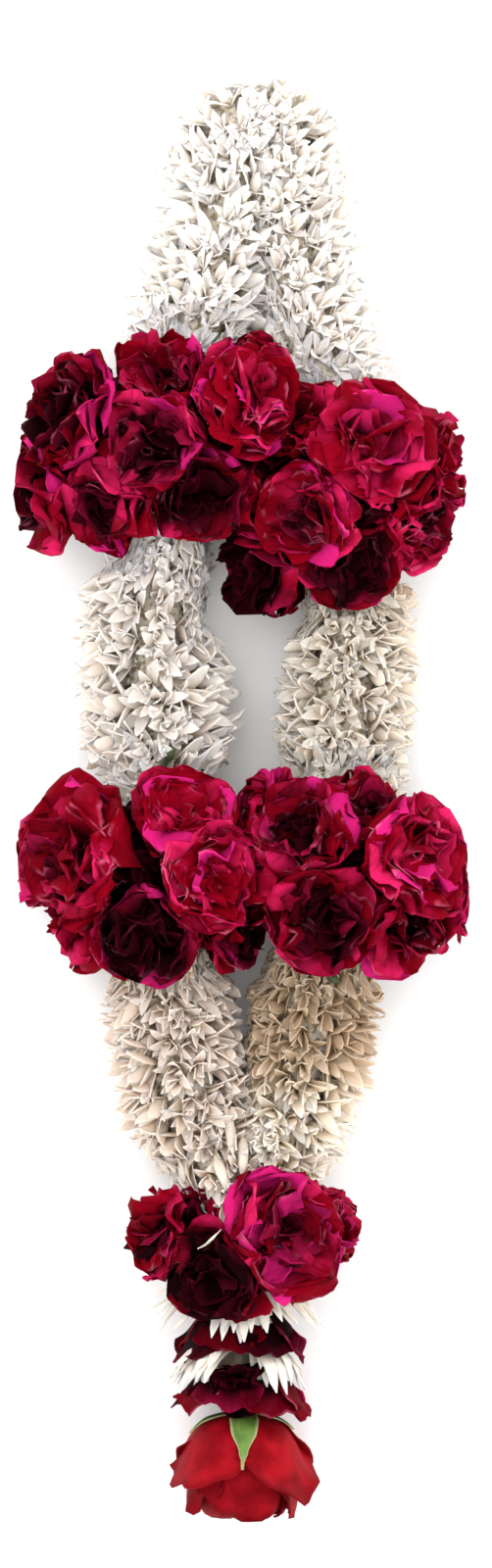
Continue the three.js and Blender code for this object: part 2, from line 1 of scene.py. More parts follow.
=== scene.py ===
"""A fresh flower garland laid flat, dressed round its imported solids.

Strands of white florets, four bands of crimson roses and a tassel that ends in one red rose.
Everything is in metres, in the frame's own place: X across, Y along the garland with the tassel
towards -Y, and Z up from the surface that it lies on.
"""

import json
import math

import bpy
import numpy as np
from bpy.props import FloatProperty, FloatVectorProperty, IntProperty, PointerProperty
from mathutils import Matrix, Vector

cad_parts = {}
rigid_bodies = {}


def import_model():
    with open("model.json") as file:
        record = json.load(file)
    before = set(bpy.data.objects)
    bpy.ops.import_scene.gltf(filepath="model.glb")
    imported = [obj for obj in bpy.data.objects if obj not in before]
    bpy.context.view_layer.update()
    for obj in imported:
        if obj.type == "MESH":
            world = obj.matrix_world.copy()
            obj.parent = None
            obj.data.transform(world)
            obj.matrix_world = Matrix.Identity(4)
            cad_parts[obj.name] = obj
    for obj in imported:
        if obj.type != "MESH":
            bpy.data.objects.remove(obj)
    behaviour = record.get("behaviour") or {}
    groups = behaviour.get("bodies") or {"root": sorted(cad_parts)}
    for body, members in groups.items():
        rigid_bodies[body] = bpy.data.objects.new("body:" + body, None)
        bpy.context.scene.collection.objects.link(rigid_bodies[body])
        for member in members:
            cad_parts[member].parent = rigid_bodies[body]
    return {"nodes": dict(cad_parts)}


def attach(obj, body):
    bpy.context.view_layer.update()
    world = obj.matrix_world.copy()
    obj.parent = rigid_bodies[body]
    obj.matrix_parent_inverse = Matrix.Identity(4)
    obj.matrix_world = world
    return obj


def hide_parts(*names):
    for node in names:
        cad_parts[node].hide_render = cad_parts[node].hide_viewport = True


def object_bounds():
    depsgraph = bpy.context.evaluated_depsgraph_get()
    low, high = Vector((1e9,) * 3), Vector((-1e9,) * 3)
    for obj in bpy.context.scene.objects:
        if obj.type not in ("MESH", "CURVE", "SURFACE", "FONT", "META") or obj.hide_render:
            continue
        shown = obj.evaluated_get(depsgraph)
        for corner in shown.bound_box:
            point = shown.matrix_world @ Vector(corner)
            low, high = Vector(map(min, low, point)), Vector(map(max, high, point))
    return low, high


bl_info = {
    "name": "Fresh flower garland",
    "version": (1, 0, 0),
    "blender": (4, 5, 0),
    "location": "3D View > Sidebar > Garland",
    "description": "White floret strands, crimson rose bands and a rose tassel on a thread",
    "category": "Object",
}

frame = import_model()
CAD_NODES = frame["nodes"]
CAD_BOX = [list(corner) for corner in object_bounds()]

MM = 0.001
BODY = "root"

# ---------------------------------------------------------------- where the garland runs

APEX = (9, 347, 34)  # top of the loop
KNOT = (4, -213, 38)  # where the loop's two sides meet above the tassel
LEFT_ROUTE = [
    APEX, (0, 343, 34), (-6, 326, 34), (-8, 300, 34), (-13, 275, 34), (-23, 245, 35),
    (-32, 215, 39), (-37, 181, 46), (-42, 146, 41), (-43, 120, 32), (-45, 85, 31),
    (-42, 46, 31), (-42, 12, 32), (-40, -12, 39), (-38, -39, 46), (-38, -67, 40),
    (-37, -92, 32), (-32, -120, 31), (-28, -146, 31), (-15, -176, 32), (-4, -200, 36), KNOT,
]
RIGHT_ROUTE = [
    APEX, (15, 344, 33), (19, 326, 32), (22, 300, 31), (26, 275, 31), (33, 245, 32),
    (40, 214, 36), (47, 182, 41), (49, 154, 45), (52, 128, 41), (54, 102, 32), (55, 72, 31),
    (54, 44, 31), (51, 14, 33), (48, -14, 41), (46, -41, 46), (42, -68, 40),
    (38, -92, 32), (32, -120, 31), (27, -146, 31), (17, -174, 32), (9, -198, 36), KNOT,
]

# Each band: its middle on the thread, and its roses, each by its offset from the middle, its
# diameter and, on some, how far towards the rim the dark of its heart reaches: about 0.3 on the
# palest and over 1 on the darkest. That dark is partly the petals' own and partly painted shade.
FILLER_R = 40  # radius in mm of the loose petals inside a band that has no other
BANDS = {
    "upper_left": {
        "at": (-37, 181, 46),
        "roses": [
            (36, 19, 30, 72, 0.35), (-42, 12, 20, 70), (-57, -22, 0, 66, 1.2),
            (-8, -2, 36, 64, 1.1), (-2, 29, 24, 60), (-26, -28, 24, 62),
            (12, -22, 30, 62, 1.5), (40, 2, -8, 58),
        ],
        "under": [(-30, -6, -26, 68), (6, 6, -28, 66)],
    },
    "upper_right": {
        "at": (49, 154, 45),
        "roses": [
            (13, 20, 34, 76, 0.55), (42, 15, 6, 60), (-14, 34, 24, 50), (-12, -10, 36, 60),
            (-44, 0, 8, 62, 1.5), (-35, -32, 6, 62, 1.7), (33, -11, 14, 60),
            (6, -29, 22, 58, 1.4),
        ],
        "under": [(20, 2, -28, 66), (-16, -2, -28, 64)],
    },
    "lower_left": {
        "at": (-38, -39, 46),
        "roses": [
            (-36, 8, 24, 82, 0.6), (8, 26, 28, 60, 0.35), (20, 0, 34, 64, 0.3),
            (-8, -26, 28, 60, 1.7), (-54, 8, -4, 60), (-42, -16, 4, 64), (32, -22, 8, 56, 1.7),
        ],
        "under": [(-24, 2, -28, 68), (12, 0, -28, 66)],
    },
    "lower_right": {
        "at": (46, -41, 46),
        "roses": [
            (36, 8, 24, 76, 0.4), (-13, 22, 32, 62, 0.95), (-4, -17, 36, 64, 1.05),
            (30, -18, 18, 62, 0.8), (-34, 30, 10, 52), (-36, 2, 20, 56), (53, -7, -8, 60),
            (14, 30, 18, 52),
        ],
        "under": [(22, -4, -28, 66), (-14, -2, -28, 64)],
    },
    "tassel": {
        "at": (2, -228, 40),
        "filler": 24,
        "roses": [
            (16, 6, 28, 72, 0.7), (-13, -13, 26, 58, 2.4), (-34, 5, 8, 54, 0.9),
            (-21, 10, 6, 44), (38, 8, 6, 48),
        ],
        "under": [(2, 0, -24, 62)],
    },
}

# The six lengths of white florets. Each has a tint and a share of brown at its florets' throats,
# and some turn to another tint over two places along Y. The tints are darker on some strands than
# on others, partly the florets' own colour and partly painted shade, and the brown at the throats
# is partly browning and partly painted warm shade. "over" is how far a strand reaches over the
# tassel's roses, and "lift" how high it rises to do so.
TOP_DIVIDE = ((1, 0.08, -0.25), APEX)  # the plane between the loop's two sides at the top
FOOT_DIVIDE = ((1, 0, -0.1), KNOT)
STRANDS = {
    "top_left": {"ends": (APEX, (-30, 214)), "radius": 37, "divide": TOP_DIVIDE,
                 "combed": (-0.12, 0.4, 0), "tint": (0.985, 0.925, 0.89), "tan": 0.15},
    "middle_left": {"ends": ((-43, 146), (-39, -8)), "radius": 39,
                    "combed": (-0.1, -0.1, 0), "tint": (0.78, 0.725, 0.695), "tan": 0.3},
    "foot_left": {"ends": ((-38, -72), (3, -212)), "radius": 37, "divide": FOOT_DIVIDE,
                  "combed": (0.05, -0.45, 0), "over": 14, "lift": 16, "tint": (0.6, 0.5, 0.42),
                  "tan": 0.6, "lower": (0.72, 0.63, 0.58), "turns": (-112, -72)},
    "top_right": {"ends": (APEX, (46, 190)), "radius": 37, "divide": TOP_DIVIDE,
                  "combed": (0.12, 0.35, 0), "tint": (0.985, 0.915, 0.87), "tan": 0.25},
    "middle_right": {"ends": ((51, 122), (48, -8)), "radius": 35,
                     "combed": (0.1, -0.1, 0), "tint": (0.64, 0.56, 0.48), "tan": 0.5,
                     "lower": (0.74, 0.68, 0.62), "turns": (68, 108)},
    "foot_right": {"ends": ((41, -74), (9, -200)), "radius": 37, "divide": FOOT_DIVIDE,
                   "combed": (-0.05, -0.45, 0), "over": 14, "tint": (0.5, 0.39, 0.29),
                   "tan": 0.95, "lower": (0.86, 0.79, 0.71), "turns": (-168, -128)},
}

# The tassel's tail: ruffs and discs threaded on it, each opening downwards over the next. A ruff
# has its root radius and its petals by sector: where it begins and ends round the axis in degrees
# (90 faces up from the surface), the petals' lean from the axis at their roots and at their tips,
# and their length. A disc has the width of its section against the usual one, the length of its
# petals and how dark they are, as their layer in a rose.
TAIL_AXIS = np.array([0, 0, 36]) * MM
SKIRTS = [
    {"name": "ruff_upper", "top": -244, "radius": 36, "root": 13, "sectors": [
        (-14, 50, 1.4, 0.75, 39), (50, 130, 1.15, 0.25, 37), (130, 200, 1.5, 0.9, 41),
        (200, 350, 1.3, 0.8, 30),
    ]},
    {"name": "disc_upper", "top": -260.5, "radius": 32, "width": 0.9, "length": 42, "layer": 0.5},
    {"name": "ruff_lower", "top": -276.5, "radius": 36, "root": 14, "sectors": [
        (5, 66, 1.4, 0.0, 33), (116, 200, 1.5, 0.55, 34), (200, 350, 1.3, 0.7, 30),
    ]},
    {"name": "disc_lower", "top": -292, "radius": 34, "width": 0.98, "length": 41, "layer": 0.42},
]
SKIRT_H = 22 * MM

GAP = 0.35 * MM  # left between pieces that touch
BOX_MARGIN = 1.5 * MM  # how far petals may reach past the solids' box
PETALS_MEET = 1.5 * MM  # how far neighbouring blooms' thin rims reach in between each other
PETALS_OVER = 6 * MM  # and how far a rose's rim lies over a rose that is lower
LOWER_BY = 6 * MM  # than it by more than this
FACING_SPREAD = (1, 0.7, 1)  # roses face away from their band's middle, less so along Y
FACING_UP = 8 * MM  # and, where they show, a little more upwards
SIDES_MERGE = 12 * MM  # how far the florets of the loop's two sides reach in between each other
ROSE_SHARE = 0.8  # rose petals keep their place up to this share of the room they have
FLORET_SHARE = 0.5  # and floret petals up to this
RAGGED = 4 * MM  # how unevenly petals end where they meet another piece
EASING = 1.7  # how fast a wall gives way past its rose, along the strand
STRAND_PRESS, SKIRT_PRESS = 7 * MM, -12 * MM  # where that begins, past the rose's radius
NEAR = 1.25  # pieces further apart than this share of their radii leave each other alone
GOLDEN_ANGLE = math.pi * (3 - math.sqrt(5))
TURN = 2 * math.pi


def real_setting(name, description, default, **more):
    return FloatProperty(name=name, description=description, default=default, **more)


def whole_setting(name, description, default):
    return IntProperty(name=name, description=description, default=default)


def mm(values):
    return np.array(values, float) * MM


def unit(vector):
    vector = np.asarray(vector, float)
    return vector / np.linalg.norm(vector)


def lengths_of(rays):
    return np.maximum(np.linalg.norm(rays, axis=1), 1e-9)


def sideways(direction):
    """Two unit vectors square to a direction."""
    helper = (0, 0, 1) if abs(direction[2]) < 0.8 else (0, 1, 0)
    first = unit(np.cross(helper, direction))
    return first, np.cross(direction, first)


def smooth_route(route, spacing=2 * MM):
    """Points a small step apart on a centripetal curve through a route."""
    points = mm(route)
    points = np.vstack([2 * points[0] - points[1], points, 2 * points[-1] - points[-2]])
    gaps = np.sqrt(np.linalg.norm(np.diff(points, axis=0), axis=1))
    times = np.concatenate([[0], np.cumsum(gaps)])
    line = []
    for i in range(1, len(points) - 2):
        p, t = points[i - 1 : i + 3], times[i - 1 : i + 3]
        steps = max(2, round(np.linalg.norm(p[2] - p[1]) / spacing))
        s = np.linspace(t[1], t[2], steps, endpoint=False)[:, None]

        def between(a, b, ta, tb):
            return a + (b - a) * (s - ta) / (tb - ta)

        a, b, c = (between(p[k], p[k + 1], t[k], t[k + 1]) for k in range(3))
        line.append(between(between(a, b, t[0], t[2]), between(b, c, t[1], t[3]), t[1], t[2]))
    return np.vstack([*line, points[-2]])


def blended(stops):
    """A smooth curve through (place, value) stops."""
    places, values = np.array(stops, float).T

    def at(v):
        i = np.clip(np.searchsorted(places, v, side="right") - 1, 0, len(places) - 2)
        t = np.clip((v - places[i]) / (places[i + 1] - places[i]), 0, 1)
        t = t * t * (3 - 2 * t)
        return values[i] + (values[i + 1] - values[i]) * t

    return at


# ---------------------------------------------------------------- the room that each piece has


def ripple(points, seed, length=20 * MM):
    """A slow pattern from -1 to 1 over space."""
    rng = np.random.default_rng(seed)
    total = np.zeros(len(points))
    for _ in range(4):
        wave = rng.normal(size=3) * math.pi / length
        total += np.sin(points @ wave + rng.uniform(0, 6.28))
    return total / 4


class Wall:
    """A plane that petals stay behind: normal . p <= reach.

    Past a place along a strand, the wall of a rose gives way to the strand's petals.
    """

    def __init__(self, normal, reach, eased_by=None):
        self.normal, self.reach, self.eased_by = unit(normal), reach, eased_by

    def room(self, anchors, rays, uneven):
        """How far each ray may reach from its anchor."""
        towards = rays @ self.normal
        ahead = towards > 1e-6
        reach = self.reach + (0 if self is FLOOR else uneven)
        room = np.full(len(rays), np.inf)
        room[ahead] = ((reach - anchors @ self.normal) / np.maximum(towards, 1e-6))[ahead]
        if self.eased_by:
            along, at, within = self.eased_by
            room[ahead] += EASING * np.maximum(np.abs(anchors[ahead] @ along - at) - within, 0)
        return room


FLOOR = Wall((0, 0, -1), 0.0)
BOX_WALLS = [
    Wall(sign * np.eye(3)[k], sign * corner[k] + BOX_MARGIN)
    for sign, corner in ((-1, CAD_BOX[0]), (1, CAD_BOX[1]))
    for k in range(3)
    if (sign, k) != (-1, 2)
]


def fitted(points, anchors, walls, free=ROSE_SHARE, ragged=RAGGED / 2):
    """Presses points towards their anchors, so that they lie inside every wall."""
    uneven = ragged * ripple(points, 5)
    anchors = np.broadcast_to(anchors, points.shape)
    rays = points - anchors
    length = lengths_of(rays)
    rays = rays / length[:, None]
    room = np.min([wall.room(anchors, rays, uneven) for wall in walls], axis=0)
    bounded = np.isfinite(room)
    room = np.where(bounded, np.maximum(room, 1e-4), 1.0)
    share = length / room
    over = np.maximum(share - free, 0) / (1 - free)
    pressed = np.where(share <= free, share, free + (1 - free) * over / (1 + over))
    return np.where(bounded[:, None], anchors + rays * (room * pressed)[:, None], points)


def rose_of(band, row, name, hidden=False):
    offset = mm(row[:3])
    facing = unit(offset * FACING_SPREAD + (0, 0, 0 if hidden else FACING_UP))
    return {
        "name": name, "at": mm(BANDS[band]["at"]) + offset, "facing": facing,
        "radius": row[3] * MM / 2, "hidden": hidden, "heart": row[4:],
    }


def all_roses():
    """Every rose of the bands, with walls between it and its neighbours."""
    roses = []
    for band, rows in BANDS.items():
        roses += [rose_of(band, r, f"rose_{band}_{i}") for i, r in enumerate(rows["roses"], 1)]
        roses += [rose_of(band, r, f"roses_{band}_under", True) for r in rows["under"]]
    for rose in roses:
        rose["walls"] = [FLOOR, *BOX_WALLS]
        for other in roses:
            radii = rose["radius"] + other["radius"]
            towards = other["at"] - rose["at"]
            distance = np.linalg.norm(towards)
            if other["name"] == rose["name"] or distance > NEAR * radii:
                continue
            over = PETALS_OVER if towards[2] < -LOWER_BY else PETALS_MEET
            share = distance * rose["radius"] / radii + over
            rose["walls"].append(Wall(towards, unit(towards) @ rose["at"] + share))
    return roses


def closest(line, place):
    return int(np.argmin(np.linalg.norm(line[:, : len(place)] - mm(place), axis=1)))


def give_room(piece, roses, press):
    """Walls between a strand or skirt and the roses that it meets, on both."""
    line, radius = piece["line"], piece["radius"]
    for rose in roses:
        near = int(np.argmin(np.linalg.norm(line - rose["at"], axis=1)))
        along = unit(line[min(near + 1, len(line) - 1)] - line[max(near - 1, 0)])
        towards = rose["at"] - line[near]
        distance = np.linalg.norm(towards)
        if distance > NEAR * (rose["radius"] + radius):
            continue
        reach = unit(towards) @ line[near] + distance * radius / (radius + rose["radius"])
        eased_by = (along, along @ rose["at"], rose["radius"] + press)
        over = piece.get("over", 0) * MM if "tassel" in rose["name"] else 0
        piece["walls"].append(Wall(towards, reach - GAP / 2 + over, eased_by))
        rose["walls"].append(Wall(-towards, -reach - GAP / 2))


# Each side of the loop: which way it lies from the planes between the two, and its thread.
SIDES = {"left": (1, smooth_route(LEFT_ROUTE)), "right": (-1, smooth_route(RIGHT_ROUTE))}
ROSES = all_roses()
for name, strand in STRANDS.items():
    sign, side = SIDES[name.split("_")[1]]
    first, last = (closest(side, place) for place in strand["ends"])
    strand["line"] = side[first : last + 1]
    strand["radius"] *= MM
    strand["walls"] = [FLOOR, *BOX_WALLS]
    if "divide" in strand:
        normal, through = strand["divide"]
        outward = unit(normal) * sign
        strand["walls"].append(Wall(outward, outward @ mm(through) + SIDES_MERGE))
    give_room(strand, ROSES, STRAND_PRESS)
for skirt in SKIRTS:
    top = skirt["top"] * MM
    skirt["radius"] *= MM
    skirt["walls"] = [FLOOR]
    skirt["line"] = np.array([TAIL_AXIS + (0, y, 0) for y in (top, top - SKIRT_H)])
    give_room(skirt, ROSES, SKIRT_PRESS)


# ---------------------------------------------------------------- node trees


def on_values(operation, swapped=False):
    """A method for one operation on a value and others, with the value last when swapped."""

    def method(self, *others):
        values = (*others, self) if swapped else (self, *others)
        return self.tree.node("ShaderNodeMath", dict(enumerate(values)), operation=operation)[0]

    return method


class Value:
    """A socket of a node tree, so that maths on it can be written as an expression."""

    def __init__(self, tree, socket):
        self.tree = tree
        self.socket = socket

    __add__ = __radd__ = on_values("ADD")
    __sub__ = on_values("SUBTRACT")
    __rsub__ = on_values("SUBTRACT", swapped=True)
    __mul__ = __rmul__ = on_values("MULTIPLY")
    __truediv__ = on_values("DIVIDE")
    __pow__ = on_values("POWER")
    __mod__ = on_values("FLOORED_MODULO")
    __abs__ = on_values("ABSOLUTE")
    floor = on_values("FLOOR")
    cosine = on_values("COSINE")
    sine = on_values("SINE")
    max = on_values("MAXIMUM")

    def step(self, low, high):
        """0 below low, 1 above high, and smooth in between."""
        values = {"Value": self, "From Min": low, "From Max": high}
        made = self.tree.node("ShaderNodeMapRange", values, interpolation_type="SMOOTHSTEP")
        return made["Result"]


class Node:
    """A node whose outputs are read as Values, by name or by number."""

    def __init__(self, tree, node):
        self.tree = tree
        self.node = node

    def __getitem__(self, key):
        return Value(self.tree, pick(self.node.outputs, key))


def pick(sockets, key):
    if isinstance(key, int):
        return sockets[key]
    return next(s for s in sockets if s.name == key and s.enabled)


def spaced(values):
    """Names and values, with spaces for the underscores in the names."""
    return [(name.replace("_", " "), value) for name, value in values.items()]


class Tree:
    """A shader or geometry node tree that is built from Python expressions."""

    def __init__(self, nodes):
        self.nodes = nodes

    def node(self, kind, values=None, **settings):
        """A node with its settings, and then the values or links of its sockets."""
        made = self.nodes.nodes.new(kind)
        for name, setting in settings.items():
            setattr(made, name, setting)
        for key, value in (values or {}).items():
            self.feed(pick(made.inputs, key), value)
        return Node(self, made)

    def feed(self, socket, value):
        if isinstance(value, Value):
            self.nodes.links.new(value.socket, socket)
        else:
            socket.default_value = value

    def vector(self, operation, *values, scale=None):
        sockets = dict(enumerate(values))
        if scale is not None:
            sockets["Scale"] = scale
        return self.node("ShaderNodeVectorMath", sockets, operation=operation)["Vector"]

    def combined(self, x=0.0, y=0.0, z=0.0):
        return self.node("ShaderNodeCombineXYZ", {"X": x, "Y": y, "Z": z})["Vector"]

    def part(self, vector, axis):
        return self.node("ShaderNodeSeparateXYZ", {"Vector": vector})[axis]


class Shader(Tree):
    """A material's tree, with the few nodes that petals need. Colours have three numbers."""

    def __init__(self, name):
        self.material = bpy.data.materials.new(name)
        self.material.use_nodes = True
        super().__init__(self.material.node_tree)
        self.nodes.nodes.clear()
        self.surface = self.node("ShaderNodeBsdfPrincipled")
        self.node("ShaderNodeOutputMaterial", {"Surface": self.surface["BSDF"]})

    def attributes(self, *names):
        """A number for each name that a mesh's points carry."""
        kind = "ShaderNodeAttribute"
        return [self.node(kind, attribute_name=name)["Fac"] for name in names]

    def place(self, scale=(1, 1, 1)):
        """Object coordinates, scaled."""
        return self.vector("MULTIPLY", self.node("ShaderNodeTexCoord")["Object"], scale)

    def noise(self, vector, scale, detail=2.0, roughness=0.5):
        values = {"Vector": vector, "Scale": scale, "Detail": detail, "Roughness": roughness}
        return self.node("ShaderNodeTexNoise", values)["Fac"]

    def painted(self, colour, *coats):
        """A colour under coats of (share, colour), one over another."""
        for share, coat in coats:
            under, over = (c if isinstance(c, Value) else (*c, 1) for c in (colour, coat))
            values = {0: share, 6: under, 7: over}
            colour = self.node("ShaderNodeMix", values, data_type="RGBA", clamp_factor=True)[2]
        return colour

    def bump(self, height, distance, strength):
        values = {"Height": height, "Distance": distance, "Strength": strength}
        return self.node("ShaderNodeBump", values)["Normal"]

    def finish(self, **sockets):
        """Sets the surface's sockets; underscores stand for the spaces in their names."""
        for name, value in spaced(sockets):
            self.feed(self.surface.node.inputs[name], value)
        return self.material


class Growth(Tree):
    """A geometry tree with named inputs, run once on a starting object."""

    def __init__(self, name, inputs):
        self.group = bpy.data.node_groups.new(name, "GeometryNodeTree")
        super().__init__(self.group)
        face = self.group.interface
        for way in ("INPUT", "OUTPUT"):
            face.new_socket(name="Geometry", in_out=way, socket_type="NodeSocketGeometry")
        self.identifiers = {}
        for kind, labels in inputs.items():
            for label in labels:
                made = face.new_socket(name=label, in_out="INPUT", socket_type=f"NodeSocket{kind}")
                self.identifiers[label] = made.identifier
        self.given = self.node("NodeGroupInput")

    def random(self, low, high, seed, kind="FLOAT"):
        values = {"Min": low, "Max": high, "Seed": self.given["Seed"] + seed}
        return self.node("FunctionNodeRandomValue", values, data_type=kind)["Value"]

    def index(self):
        return self.node("GeometryNodeInputIndex")["Index"]

    def turned(self, rotation, *by):
        """A rotation followed by a further turn about its own axes."""
        by = self.node("FunctionNodeEulerToRotation", {"Euler": self.combined(*by)})["Rotation"]
        if rotation is None:
            return by
        values = {"Rotation": rotation, "Rotate By": by}
        made = self.node("FunctionNodeRotateRotation", values, rotation_space="LOCAL")
        return made["Rotation"]

    def stored(self, geometry, kind="FLOAT", **named):
        """The geometry with named values on its points."""
        for name, value in named.items():
            values = {"Geometry": geometry, "Name": name, "Value": value}
            made = self.node("GeometryNodeStoreNamedAttribute", values, data_type=kind)
            geometry = made["Geometry"]
        return geometry

    def named(self, name, kind="FLOAT"):
        made = self.node("GeometryNodeInputNamedAttribute", {"Name": name}, data_type=kind)
        return made["Attribute"]

    def copied(self, geometry, amount):
        """Every point as many times as amount says, and the number of each copy."""
        values = {"Geometry": geometry, "Amount": amount}
        made = self.node("GeometryNodeDuplicateElements", values, domain="POINT")
        return made["Geometry"], made["Duplicate Index"]

    def instances(self, points, instance, rotation, **more):
        """An instance on each point; underscores stand for the spaces in the sockets' names."""
        values = {"Points": points, "Instance": instance, "Rotation": rotation, **more}
        return self.node("GeometryNodeInstanceOnPoints", dict(spaced(values)))["Instances"]

    def petals(self, points, number, rotation, size):
        """On each point, the petal shape of that number."""
        asked = {"Separate Children": True, "Reset Children": True}
        asked["Collection"] = self.given["Petal shapes"]
        choices = self.node("GeometryNodeCollectionInfo", asked)["Instances"]
        scale = self.combined(size, size, size)
        picked = {"Pick_Instance": True, "Instance_Index": number, "Scale": scale}
        return self.instances(points, choices, rotation, **picked)

    def finish(self, geometry):
        """Ends the tree in real faces of one material."""
        real = self.node("GeometryNodeRealizeInstances", {"Geometry": geometry})["Geometry"]
        values = {"Geometry": real, "Material": self.given["Material"]}
        made = self.node("GeometryNodeSetMaterial", values)
        self.node("NodeGroupOutput", {0: made["Geometry"]})
        return self

    def grow(self, start, values):
        """The plain mesh that the tree makes from a starting object, which is then removed."""
        bpy.context.scene.collection.objects.link(start)
        modifier = start.modifiers.new("Growth", "NODES")
        modifier.node_group = self.group
        for label, value in values.items():
            modifier[self.identifiers[label]] = value
        bpy.context.view_layer.update()
        grown = start.evaluated_get(bpy.context.evaluated_depsgraph_get())
        mesh = bpy.data.meshes.new_from_object(grown)
        start.modifiers.clear()
        bpy.data.objects.remove(start)
        if not mesh.polygons:
            raise RuntimeError(f"{self.group.name} grew nothing")
        return mesh


# ---------------------------------------------------------------- meshes


def petal(along, across, length, width, angles, cup, ruffle, thickness, rim=lambda u: 1):
    """A petal as (points, faces, attributes): a thin closed sheet that grows up Z and opens to +X.

    along and across run from 0 to 1 and from -1 to 1. width(v) is half the width, angles(v) the
    lean from Z in radians, and cup the radius that the petal is rolled to across. ruffle(u, v)
    moves it square to itself and rim(u) shortens it at its corners.
    """
    u, v = np.meshgrid(across, along)
    reach = v * rim(u)
    fine = np.linspace(0, 1.05, 43)
    runs = []
    for slope in (np.sin(angles(fine)), np.cos(angles(fine))):
        steps = (slope[1:] + slope[:-1]) / 2 * np.diff(fine)
        run = np.concatenate([[0], np.cumsum(steps)])
        runs.append(length * np.interp(reach, fine, run))
    x, z = runs
    theta = angles(reach)
    roll = u * width(v) / cup
    inward = cup * (1 - np.cos(roll)) - ruffle(u, v)
    places = (x - inward * np.cos(theta), cup * np.sin(roll), z + inward * np.sin(theta))
    return sheet(np.stack(places, axis=-1), u, v, thickness)


def sheet(grid, u, v, thickness):
    """A closed sheet round a grid of points, with its place across and along on each point."""
    rows, columns = u.shape
    normal = np.cross(np.gradient(grid, axis=1), np.gradient(grid, axis=0))
    normal /= np.maximum(np.linalg.norm(normal, axis=-1, keepdims=True), 1e-12)
    skins = [(grid + side * normal * thickness / 2).reshape(-1, 3) for side in (1, -1)]
    index = np.arange(rows * columns).reshape(rows, columns)
    a, b, c, d = index[:-1, :-1], index[:-1, 1:], index[1:, 1:], index[1:, :-1]
    top = np.stack([a, b, c, d], axis=-1).reshape(-1, 4)
    edge = np.concatenate([index[0, :], index[1:, -1], index[-1, -2::-1], index[-2:0:-1, 0]])
    after = np.roll(edge, -1)
    side = np.stack([after, edge, edge + index.size, after + index.size], axis=-1)
    faces = np.concatenate([top, top[:, ::-1] + index.size, side])
    attributes = {"across": np.tile(u.ravel(), 2), "blade": np.tile(v.ravel(), 2)}
    return np.concatenate(skins), faces, attributes


def ring_faces(rings, sides):
    """The faces of a closed tube whose points are rings, one after another."""
    faces = [
        (row + k, row + (k + 1) % sides, row + sides + (k + 1) % sides, row + sides + k)
        for row in range(0, sides * (rings - 1), sides)
        for k in range(sides)
    ]
    last = sides * (rings - 1)
    return faces + [tuple(range(sides))[::-1], tuple(range(last, last + sides))]


def ringed(line, radii, sides):
    """The points of rings round a line, each with its own radius."""
    angles = np.arange(sides)[:, None] * TURN / sides
    rings = []
    for spot, tangent, radius in zip(line, np.gradient(line, axis=0), radii):
        first, second = sideways(unit(tangent))
        rings.append(spot + radius * (np.cos(angles) * first + np.sin(angles) * second))
    return np.concatenate(rings)


def everywhere(points, **values):
    """The same numbers on every point."""
    return {name: np.full(len(points), value) for name, value in values.items()}


def mesh_from(name, parts):
    """One mesh from parts of (points, faces, attributes), each part closed."""
    mesh = bpy.data.meshes.new(name)
    faces, start = [], 0
    for points, quads, _ in parts:
        faces += [tuple(int(i) + start for i in face) for face in quads]
        start += len(points)
    mesh.from_pydata(np.concatenate([part[0] for part in parts]).tolist(), [], faces)
    for key in parts[0][2]:
        values = np.concatenate([attributes[key] for _, _, attributes in parts])
        mesh.attributes.new(key, "FLOAT", "POINT")
        set_numbers(mesh, key, values)
    if volume_of(mesh) < 0:
        mesh.flip_normals()
    return mesh


def volume_of(mesh):
    mesh.calc_loop_triangles()
    corners = np.empty(len(mesh.loop_triangles) * 3, np.int32)
    mesh.loop_triangles.foreach_get("vertices", corners)
    a, b, c = coordinates(mesh)[corners.reshape(-1, 3)].transpose(1, 0, 2)
    return float(np.einsum("ij,ij->i", a, np.cross(b, c)).sum() / 6)


def coordinates(mesh):
    values = np.empty(len(mesh.vertices) * 3, np.float32)
    mesh.vertices.foreach_get("co", values)
    return values.reshape(-1, 3).astype(float)


def move_to(mesh, points):
    mesh.vertices.foreach_set("co", points.astype(np.float32).ravel())
    mesh.update()


def numbers(mesh, name):
    values = np.zeros(len(mesh.vertices), np.float32)
    mesh.attributes[name].data.foreach_get("value", values)
    return values


def set_numbers(mesh, name, values):
    mesh.attributes[name].data.foreach_set("value", values.astype(np.float32))


def shapes(name, parts):
    """A collection of petal shapes for a tree to pick from. It isn't linked to the scene."""
    made = bpy.data.collections.new(name)
    for i, part in enumerate(parts):
        made.objects.link(bpy.data.objects.new(f"{name}_{i:02d}", mesh_from(name, [part])))
    return made


def put_away(collection):
    for item in list(collection.objects):
        bpy.data.objects.remove(item)
    bpy.data.collections.remove(collection)


def joined(meshes, name):
    """One mesh from several that carry the same attributes."""
    items = [bpy.data.objects.new("part", mesh) for mesh in meshes]
    for item in items:
        bpy.context.scene.collection.objects.link(item)
    if len(items) > 1:
        chosen = {"selected_objects": items, "selected_editable_objects": items}
        with bpy.context.temp_override(active_object=items[0], object=items[0], **chosen):
            bpy.ops.object.join()
    mesh = items[0].data
    bpy.data.objects.remove(items[0])
    mesh.name = name
    return mesh


def add_piece(name, mesh, slot, material, replaces=()):
    """Puts a finished mesh into the scene as a piece that rides on the garland."""
    mesh.polygons.foreach_set("material_index", np.zeros(len(mesh.polygons), np.int32))
    mesh.materials.clear()
    mesh.materials.append(material)
    mesh.shade_smooth()
    piece = bpy.data.objects.new(name, mesh)
    bpy.context.scene.collection.objects.link(piece)
    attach(piece, BODY)
    if replaces:
        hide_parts(*replaces)


def add_petals(name, mesh, slot, material):
    """A piece of petals that stands for the solid of that name."""
    add_piece(f"{name}_petals", mesh, slot, material, (name,))


# ---------------------------------------------------------------- white florets

